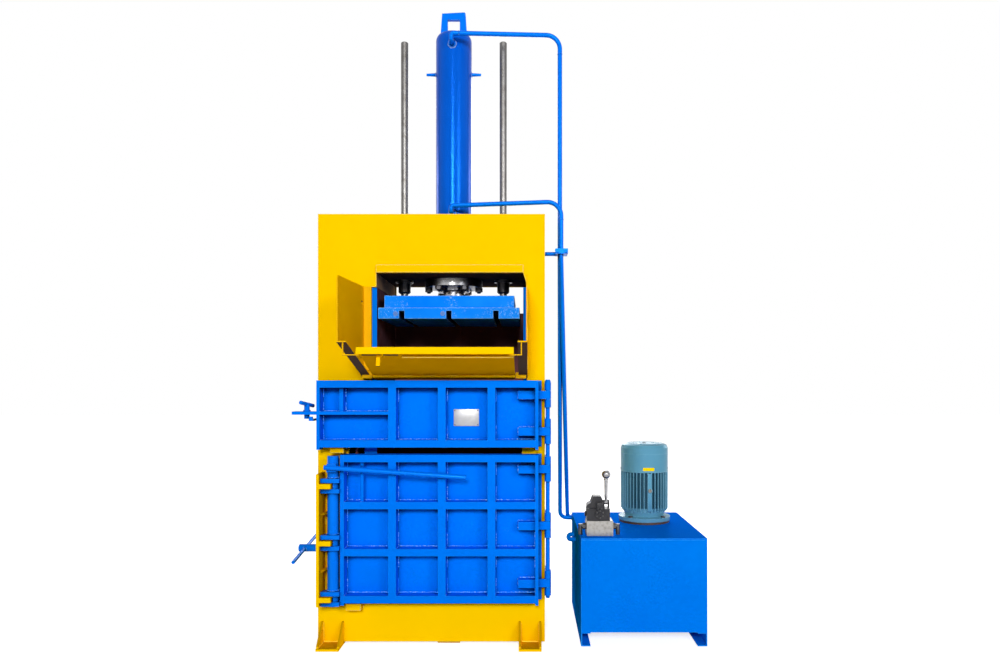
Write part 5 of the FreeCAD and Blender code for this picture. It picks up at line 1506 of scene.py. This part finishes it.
@dataclass
class LowerDoor(SubAssembly):
    """Lower door: its seams, its pull bar's beads and the lock brackets' seams."""

    columns: tuple[Span, ...] = ((-0.532, -0.303), (-0.263, -0.046), (-0.006, 0.211),
                                 (0.251, 0.458))
    rows: tuple[Span, ...] = ((0.2756, 0.4819), (0.5189, 0.7251), (0.7621, 0.9684))
    straps: tuple[float, ...] = (0.928, 0.633, 0.332)
    pull_bar: Span = (-0.441, -0.369)
    bracket_root: float = -0.552
    bracket_depth: Span = (-0.384, -0.316)
    brackets: tuple[Span, ...] = ((0.863, 0.885), (0.81, 0.832), (0.572, 0.594),
                                  (0.5155, 0.5375), (0.28, 0.302), (0.2276, 0.2496))

    def plans(self) -> list[Plan]:
        """List the door's small pieces.

        Returns:
            The pieces.
        """
        bays = [Bay(left, right, low, high) for left, right in self.columns
                for low, high in self.rows]
        door = Door("lower_door", Body.LOWER_DOOR, bays, self.straps)
        return door.plans() + [
            Plan("pull_bar_and_bracket_welds", self.fittings, Paint.WELD_BLUE, Body.LOWER_DOOR,
                 Slot.BLUE),
        ]

    def fittings(self, mesh: Mesh) -> None:
        """Weld the pull bar and the lock brackets.

        Args:
            mesh: The mesh to add to.
        """
        low, high = self.rows[-1]
        WeldRing((*self.pull_bar, low), UP, radius=0.0095, bead=0.0035).add(mesh)
        WeldRing((*self.pull_bar, high), UP, radius=0.0125, bead=0.003).add(mesh)
        near, far = self.bracket_depth
        for bottom, top in self.brackets:
            for z, side in ((bottom, DOWN), (top, UP)):
                WeldSeam((self.bracket_root, near, z), (self.bracket_root, far, z), LEFT,
                         side).add(mesh)


@dataclass
class DoorHinge(SubAssembly):
    """Seams of the fixed hinge lugs."""

    side: float = 0.51
    depth: Span = (-0.298, -0.242)
    straps: tuple[float, ...] = (1.316, 1.125, 0.928, 0.633, 0.332)
    half: float = 0.022
    length: float = 0.044
    corner: float = 0.004

    def plans(self) -> list[Plan]:
        """List the hinge's seams."""
        return [Plan("hinge_lug_welds", self.seams, Paint.WELD_BLUE, Body.FRAME, Slot.BLUE)]

    def seams(self, mesh: Mesh) -> None:
        """Weld the lugs above and below each strap to the frame.

        Args:
            mesh: The mesh to add to.
        """
        near, far = self.depth
        for height in self.straps:
            for way in (-1.0, 1.0):
                z = height + way * (self.half + self.length)
                WeldSeam((self.side, near, z), (self.side, far, z), RIGHT,
                         (0.0, 0.0, way)).add(mesh)
            for way in (-1.0, 1.0):
                inner = height + way * (self.half + self.corner)
                outer = height + way * (self.half + self.length - self.corner)
                WeldSeam((self.side, far, inner), (self.side, far, outer), RIGHT,
                         BACK).add(mesh)


@dataclass
class DoorLock(SubAssembly):
    """Beads of the lower door's lock shaft and of its lever."""

    place: Span = (-0.59, -0.374)
    radius: float = 0.03
    collars: tuple[float, ...] = (0.8895, 0.5985, 0.3065)
    lever_root: Point = (-0.59, -0.406, 0.9445)
    lever_radius: float = 0.0125
    pad_half: float = 0.016

    def plans(self) -> list[Plan]:
        """List the lock's beads."""
        return [Plan("lock_shaft_beads", self.beads, Paint.WELD_BLUE, Body.LOCK_SHAFT,
                     Slot.BLUE)]

    def beads(self, mesh: Mesh) -> None:
        """Run beads round the shaft's collars and along the lever's root.

        Args:
            mesh: The mesh to add to.
        """
        for height in self.collars:
            WeldRing((*self.place, height), UP, self.radius, bead=0.0035).add(mesh)
        x, y, z = self.lever_root
        for way in (-1.0, 1.0):
            level = z + way * self.lever_radius * 0.9
            WeldSeam((x - self.pad_half, y, level), (x + self.pad_half, y, level),
                     (0.0, -0.4, 0.0), (0.0, 0.0, way)).add(mesh)


@dataclass
class WallRelease(SubAssembly):
    """Beads where the bar crosses the release screw."""

    place: Span = (-0.843, 0.443)
    screw: float = 0.0215
    bar: float = 0.01
    lean: float = 7.4

    def plans(self) -> list[Plan]:
        """List the release screw's beads."""
        return [Plan("tommy_bar_welds", self.beads, Paint.WELD_BLUE, Body.SCREW, Slot.BLUE)]

    def beads(self, mesh: Mesh) -> None:
        """Run a bead round the bar on both sides of the screw.

        Args:
            mesh: The mesh to add to.
        """
        x, z = self.place
        for side in (-1.0, 1.0):
            rise = side * self.screw * math.tan(math.radians(self.lean))
            WeldRing((x, side * self.screw * 0.96, z + rise), (0.0, side, 0.0), self.bar,
                     bead=0.004, lumps=0.3).add(mesh)


@dataclass
class Pipework(SubAssembly):
    """Butt-weld rings of the pipes, and the clamp's bolts."""

    pipe: float = 0.0125
    runs: tuple[Span, ...] = ((-0.16, 3.293), (-0.16, 2.349))
    collar: float = 0.043
    uprights: tuple[Point, ...] = ((0.596, -0.13, 3.19), (0.601, -0.178, 2.27))
    bead: float = 0.0022
    stalk_root: Span = (0.51, 2.085)
    stalk: float = 0.011
    bolt_inset: float = 0.012
    stalk_length: float = 0.058
    head: Span = (0.013, 0.006)                 # size across the flats, and height
    nut: Span = (0.013, 0.008)
    seat: float = 0.0005

    def plans(self) -> list[Plan]:
        """List the pipes' small pieces.

        Returns:
            The pieces.
        """
        return [
            Plan("pipe_weld_rings", self.rings, Paint.WELD_BLUE, Body.FRAME, Slot.BLUE),
            Plan("clamp_bolts", self.bolts, Paint.BLUE, Body.FRAME, Slot.BLUE),
        ]

    def rings(self, mesh: Mesh) -> None:
        """Run beads round the pipes' butt joints and the clamp's stalk.

        Args:
            mesh: The mesh to add to.
        """
        for y, z in self.runs:
            WeldRing((self.collar, y, z), RIGHT, self.pipe, self.bead).add(mesh)
        for place in self.uprights:
            WeldRing(place, UP, self.pipe, self.bead).add(mesh)
        low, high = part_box("pipe_clamp")
        x, z = self.stalk_root
        WeldRing((x, (low[1] + high[1]) / 2, z), RIGHT, self.stalk, bead=0.0035).add(mesh)

    def bolts(self, mesh: Mesh) -> None:
        """Set a bolt and its nut through each end of the clamp.

        Args:
            mesh: The mesh to add to.
        """
        low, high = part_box("pipe_clamp")
        middle = (low[2] + high[2]) / 2
        for x in (low[0] + self.bolt_inset + self.stalk_length, high[0] - self.bolt_inset):
            hex_head(mesh, *self.head, (x, low[1] + self.seat, middle), FRONT)
            hex_head(mesh, *self.nut, (x, high[1] - self.seat, middle), BACK)


@dataclass
class MotorUnit(SubAssembly):
    """Rolled seams, screws, plugs, smooth strip and blank sticker of the motor."""

    axis: Span = (1.109, 0.182)
    radius: float = 0.1375
    cover_foot: float = 0.861
    crown: float = 1.025
    rolls: tuple[Span, ...] = ((0.968, 0.0011), (0.865, 0.0009))
    roll_half: float = 0.0028
    plug: Point = (1.121, 0.0445, 0.759)
    strip: Span = (0.64, 0.857)
    strip_half: float = 0.011
    strip_depth: float = 0.022
    sticker: tuple[float, float, float, float] = (1.081, 1.147, 0.8735, 0.892)
    sticker_steps: int = 14
    sticker_corner: float = 0.0022
    sticker_proud: float = 0.0004
    screw_angles: tuple[float, ...] = (0.0, 90.0, 180.0)
    screw_height: float = 0.016
    screw: Span = (0.0045, 0.0035)              # radius and height of the head

    def plans(self) -> list[Plan]:
        """List the motor's small pieces.

        Returns:
            The pieces.
        """
        return [
            Plan("motor_strip_and_rolls", self.strip_and_rolls, Paint.MOTOR, Body.FRAME,
                 Slot.MOTOR),
            Plan("fan_cover_screws", self.screws, Paint.ZINC, Body.FRAME, Slot.ZINC),
            Plan("motor_plug", self.side_plug, Paint.ZINC, Body.FRAME, Slot.ZINC),
            Plan("motor_blank_sticker", self.blank_sticker, Paint.STICKER, Body.FRAME,
                 Slot.MOTOR),
            Plan("fan_cover_plug", self.crown_plug, Paint.SEAL, Body.FRAME, Slot.MOTOR),
        ]

    def strip_and_rolls(self, mesh: Mesh) -> None:
        """Roll the cover's seams, and build the smooth strip and the pad that carry the plug.

        Args:
            mesh: The mesh to add to.
        """
        r, half = self.radius, self.roll_half
        for height, proud in self.rolls:
            profile = [(r - 0.001, -half), (r + proud * 0.6, -0.0016), (r + proud, 0.0),
                       (r + proud * 0.6, 0.0016), (r - 0.001, half), (r - 0.001, -half)]
            lathe(mesh, profile, (*self.axis, height), segments=96)
        rim = [(0.104, -0.001), (0.106, 0.0012), (0.108, -0.001), (0.104, -0.001)]
        lathe(mesh, rim, (*self.axis, self.crown), segments=96)
        x, y, z = self.plug
        front = y + 0.001
        low, high = self.strip
        slab(mesh, (x - self.strip_half, front, low),
             (x + self.strip_half, y + self.strip_depth, high), bevel=0.003, steps=3)
        pad = [(0.0155, -0.002), (0.0155, 0.002), (0.0145, 0.003), (0.0, 0.003)]
        lathe(mesh, pad, (x, front, z), FRONT, 32)

    def screws(self, mesh: Mesh) -> None:
        """Set the cover's screws round its foot.

        Args:
            mesh: The mesh to add to.
        """
        x, y = self.axis
        height = self.cover_foot + self.screw_height
        for angle in self.screw_angles:
            out = (math.cos(math.radians(angle)), math.sin(math.radians(angle)))
            place = (x + self.radius * out[0], y + self.radius * out[1], height)
            socket_head(mesh, *self.screw, place, (*out, 0.0))

    def side_plug(self, mesh: Mesh) -> None:
        """Screw the plug into the strip's pad.

        Args:
            mesh: The mesh to add to.
        """
        x, y, z = self.plug
        profile = [(0.0, 0.0), (0.0115, 0.0), (0.0115, 0.003), (0.0095, 0.0055),
                   (0.005, 0.0055), (0.004, 0.003), (0.0, 0.003)]
        lathe(mesh, profile, (x, y - 0.001, z), FRONT, 28)

    def blank_sticker(self, mesh: Mesh) -> None:
        """Lay the blank sticker round the cover.

        Args:
            mesh: The mesh to add to.
        """
        left, right, low, high = self.sticker
        x, y = self.axis
        start = math.asin((left - x) / self.radius)
        end = math.asin((right - x) / self.radius)
        rows = []
        for index in range(self.sticker_steps + 1):
            angle = start + (end - start) * index / self.sticker_steps
            inset = self.sticker_corner if index in (0, self.sticker_steps) else 0.0
            row = []
            for height, proud in ((low + inset, 0.0), (low + inset, self.sticker_proud),
                                  (high - inset, self.sticker_proud), (high - inset, 0.0)):
                r = self.radius + proud
                point = (x + r * math.sin(angle), y - r * math.cos(angle), height)
                row.append(mesh.verts.new(point))
            rows.append(row)
        for first, second in zip(rows, rows[1:]):
            for index in range(3):
                mesh.faces.new([first[index], first[index + 1], second[index + 1],
                                second[index]])

    def crown_plug(self, mesh: Mesh) -> None:
        """Plug the middle of the cover's crown.

        Args:
            mesh: The mesh to add to.
        """
        profile = [(0.0, -0.001), (0.011, -0.001), (0.011, 0.0015), (0.0085, 0.003),
                   (0.0, 0.0035)]
        lathe(mesh, profile, (*self.axis, self.crown), segments=28)


@dataclass
class HandValve(SubAssembly):
    """Screws, plug, covers, seals and lever nut of the hand valve and its manifold."""

    cap: Point = (0.802, -0.291, 0.682)
    cap_circle: float = 0.0185
    cap_screw: Span = (0.0034, 0.0026)          # radius and height of the head
    pilot_low: Point = (0.7865, -0.2895, 0.7065)
    pilot_high: Point = (0.8175, -0.286, 0.742)
    pilot_inset: float = 0.005
    pilot_screw: Span = (0.003, 0.0024)
    deck: float = 0.708
    deck_screws: tuple[Span, ...] = ((0.742, -0.271), (0.849, -0.271), (0.742, -0.189))
    deck_screw: Span = (0.0055, 0.006)
    side_plug: Point = (0.734, -0.23, 0.677)
    plug_head: Span = (0.024, 0.009)            # size across the flats, and height
    seal_places: Span = (0.732, 0.873)
    seal: Span = (0.0178, 0.003)                # radius and thickness
    fitting: Span = (-0.23, 0.61)
    lever: Point = (0.84, -0.23, 0.8585)
    lever_nut: Span = (0.021, 0.006)            # size across the flats, and height

    def plans(self) -> list[Plan]:
        """List the valve's small pieces.

        Returns:
            The pieces.
        """
        return [
            Plan("valve_screws", self.screws, Paint.DARK_ZINC, Body.FRAME, Slot.ZINC),
            Plan("valve_covers", self.covers, Paint.CASTING, Body.FRAME, Slot.CASTING),
            Plan("fitting_seals", self.seals, Paint.SEAL, Body.FRAME, Slot.FITTING),
            Plan("lever_lock_nut", self.lock_nut, Paint.CHROME, Body.LEVER, Slot.CHROME),
        ]

    def screws(self, mesh: Mesh) -> None:
        """Set the screws round the end cap, on the pilot cover and on the deck.

        Args:
            mesh: The mesh to add to.
        """
        x, y, z = self.cap
        for across, rise in circle(6, self.cap_circle, 30):
            socket_head(mesh, *self.cap_screw, (x + across, y, z + rise), FRONT)
        low, high, inset = self.pilot_low, self.pilot_high, self.pilot_inset
        for x in (low[0] + inset, high[0] - inset):
            for z in (low[2] + inset, high[2] - inset):
                socket_head(mesh, *self.pilot_screw, (x, low[1], z), FRONT)
        for place in self.deck_screws:
            socket_head(mesh, *self.deck_screw, (*place, self.deck), UP)

    def covers(self, mesh: Mesh) -> None:
        """Build the pilot's cover plate, the cap's boss and the side plug.

        Args:
            mesh: The mesh to add to.
        """
        slab(mesh, self.pilot_low, self.pilot_high, bevel=0.001)
        boss = [(0.0125, -0.001), (0.0125, 0.003), (0.011, 0.0045), (0.006, 0.0045),
                (0.0055, 0.001), (0.0, 0.001)]
        lathe(mesh, boss, self.cap, FRONT, 32)
        hex_head(mesh, *self.plug_head, self.side_plug, LEFT)

    def seals(self, mesh: Mesh) -> None:
        """Lay a seal under the fitting on each side of the manifold."""
        for x, side in zip(self.seal_places, (LEFT, RIGHT)):
            disc(mesh, *self.seal, (x, *self.fitting), side)

    def lock_nut(self, mesh: Mesh) -> None:
        """Lock the lever's ball with a nut."""
        hex_head(mesh, *self.lever_nut, self.lever, UP)


@dataclass
class OilTank(SubAssembly):
    """Seams between the oil tank and its skids."""

    left: float = 0.698
    right: float = 1.359
    front: float = -0.34
    back: float = 0.48
    bottom: float = 0.073
    skid: float = 0.05
    stitch: float = 0.08
    front_gap: float = 0.02
    middle_gap: float = 0.36
    back_gap: float = 0.1

    def plans(self) -> list[Plan]:
        """List the tank's seams."""
        return [Plan("tank_skid_welds", self.skid_seams, Paint.WELD_BLUE, Body.FRAME,
                     Slot.TANK)]

    def skid_seams(self, mesh: Mesh) -> None:
        """Weld the skids under the tank.

        Args:
            mesh: The mesh to add to.
        """
        starts = (self.front + self.front_gap, self.front + self.middle_gap,
                  self.back - self.back_gap)
        for x, side in ((self.left + self.skid, RIGHT), (self.right - self.skid, LEFT)):
            for start in starts:
                WeldSeam((x, start, self.bottom), (x, start + self.stitch, self.bottom), side,
                         DOWN).add(mesh)


ASSEMBLIES: tuple[type[SubAssembly], ...] = (PressFrame, PressCylinder, Platen, Hopper,
                                             UpperDoor, LowerDoor, DoorHinge, DoorLock,
                                             WallRelease, Pipework, MotorUnit, HandValve,
                                             OilTank)


# ---------------------------------------------------------------- studio
@dataclass
class Studio:
    """Camera, lamps, world and floor."""

    eye: Point = (0.415, -4.3, 1.365)
    lens: float = 27.25
    sensor: float = 36.0
    shift: Span = (-0.027, 0.05)
    view_end: float = 200.0
    floor_size: float = 60.0
    world_level: float = 0.06
    floor_lift: Span = (0.72, 1.0)
    floor_span: Span = (1.2, 3.2)

    def camera(self) -> None:
        """Place the camera at the photograph's viewpoint, level and square to the front."""
        data = bpy.data.cameras.new("photo_camera")
        data.lens = self.lens
        data.sensor_width = self.sensor
        data.shift_x, data.shift_y = self.shift
        data.clip_end = self.view_end
        camera = bpy.data.objects.new("photo_camera", data)
        camera.location = self.eye
        camera.rotation_euler = (math.pi / 2, 0.0, 0.0)
        bpy.context.scene.collection.objects.link(camera)
        bpy.context.scene.camera = camera

    def lamp(self, name: str, place: Point, aim: Point, size: Span, power: float) -> None:
        """Add one soft rectangular lamp.

        Args:
            name: The lamp's name.
            place: Where it stands.
            aim: What it points at.
            size: Width and height.
            power: Power in watts.
        """
        data = bpy.data.lights.new(name, "AREA")
        data.shape = "RECTANGLE"
        data.size, data.size_y = size
        data.energy = power
        lamp = bpy.data.objects.new(name, data)
        lamp.location = place
        lamp.rotation_euler = (Vector(aim) - Vector(place)).to_track_quat("-Z", "Y").to_euler()
        bpy.context.scene.collection.objects.link(lamp)

    def lamps(self) -> None:
        """Add the high front key, the side fills, and the top and back lamps."""
        self.lamp("key", (-0.2, -12.0, 5.0), (0.1, 0.0, 1.4), (2.4, 2.0), 880.0)
        self.lamp("right_fill", (7.05, -9.7, 4.8), (0.2, 0.0, 1.5), (3.0, 3.0), 410.0)
        self.lamp("left_fill", (-6.5, -8.0, 3.6), (0.0, 0.0, 1.4), (3.0, 3.0), 40.0)
        self.lamp("top", (0.2, 0.3, 7.2), (0.2, 0.0, 0.0), (4.0, 4.0), 10.0)
        self.lamp("back", (0.5, 5.5, 3.5), (0.0, 0.0, 1.6), (3.5, 3.5), 170.0)
        self.lamp("back_right", (6.5, 4.5, 3.5), (0.3, 0.0, 1.3), (3.0, 3.0), 90.0)
        self.lamp("back_left", (-6.5, 4.5, 3.5), (0.0, 0.0, 1.3), (3.0, 3.0), 90.0)

    def white_ray(self, tree: bpy.types.NodeTree) -> bpy.types.Node:
        """Mark the rays that should see plain white: camera, glossy and transmission rays.

        Args:
            tree: The node tree to add to.

        Returns:
            The node that is 1 for such a ray.
        """
        path = tree.nodes.new("ShaderNodeLightPath")
        total = path.outputs["Is Camera Ray"]
        for name in ("Is Glossy Ray", "Is Transmission Ray"):
            most = tree.nodes.new("ShaderNodeMath")
            most.operation = "MAXIMUM"
            tree.links.new(total, most.inputs[0])
            tree.links.new(path.outputs[name], most.inputs[1])
            total = most.outputs[0]
        return total.node

    def world(self) -> None:
        """White backdrop for the camera and for reflections, soft grey light for the rest."""
        world = bpy.data.worlds.new("studio")
        world.use_nodes = True
        bpy.context.scene.world = world
        tree = world.node_tree
        tree.nodes.clear()
        out = tree.nodes.new("ShaderNodeOutputWorld")
        shades = []
        for level in (self.world_level, 1.0):
            shade = tree.nodes.new("ShaderNodeBackground")
            shade.inputs["Color"].default_value = (*WHITE, 1.0)
            shade.inputs["Strength"].default_value = level
            shades.append(shade)
        mix = tree.nodes.new("ShaderNodeMixShader")
        tree.links.new(self.white_ray(tree).outputs[0], mix.inputs[0])
        tree.links.new(shades[0].outputs[0], mix.inputs[1])
        tree.links.new(shades[1].outputs[0], mix.inputs[2])
        tree.links.new(mix.outputs[0], out.inputs["Surface"])

    def floor(self) -> None:
        """Lay the white floor, lifted to white where the camera sees it unshaded."""
        half = self.floor_size / 2
        mesh = bpy.data.meshes.new("floor")
        corners = [(-half, -half, 0.0), (half, -half, 0.0), (half, half, 0.0), (-half, half, 0.0)]
        mesh.from_pydata(corners, [], [(0, 1, 2, 3)])
        floor = bpy.data.objects.new("floor", mesh)
        bpy.context.scene.collection.objects.link(floor)
        kit = Nodes("studio_floor")
        kit.set(Base_Color=(0.8, 0.8, 0.8), Roughness=0.9, Specular_IOR_Level=0.05)
        glow = kit.add("ShaderNodeEmission")
        away = kit.add("ShaderNodeVectorMath", operation="LENGTH")
        kit.link(kit.coords, "Object", away, 0)
        lift = kit.ramp(away, "Value", *self.floor_span, *self.floor_lift)
        level = kit.math("MULTIPLY", self.white_ray(kit.tree), lift)
        kit.link(level, 0, glow, "Strength")
        total = kit.add("ShaderNodeAddShader")
        kit.link(kit.shader, "BSDF", total, 0)
        kit.link(glow, 0, total, 1)
        kit.link(total, 0, kit.output, "Surface")
        mesh.materials.append(kit.material)

    def build(self) -> None:
        """Set up the whole studio."""
        self.camera()
        self.lamps()
        self.world()
        self.floor()
        bpy.context.scene.view_settings.view_transform = "Standard"


def dress_nodes(paints: dict[Paint, bpy.types.Material]) -> None:
    """Give every carried-over CAD piece its finish.

    Args:
        paints: Material for each finish.
    """
    for paint, names in NODE_FINISH.items():
        for name in names:
            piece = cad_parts[name]
            if not piece.material_slots:
                piece.data.materials.append(paints[paint])
            for holder in piece.material_slots:
                holder.material = paints[paint]
            LOG.info("dressed %s with %s", name, paint.value)


def main() -> None:
    """Build the studio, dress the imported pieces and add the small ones."""
    logging.basicConfig(level=logging.INFO, format="%(message)s")
    Studio().build()
    paints = finishes()
    dress_nodes(paints)
    maker = Maker(paints)
    for assembly in ASSEMBLIES:
        assembly().build(maker)


if __name__ == "__main__":
    main()
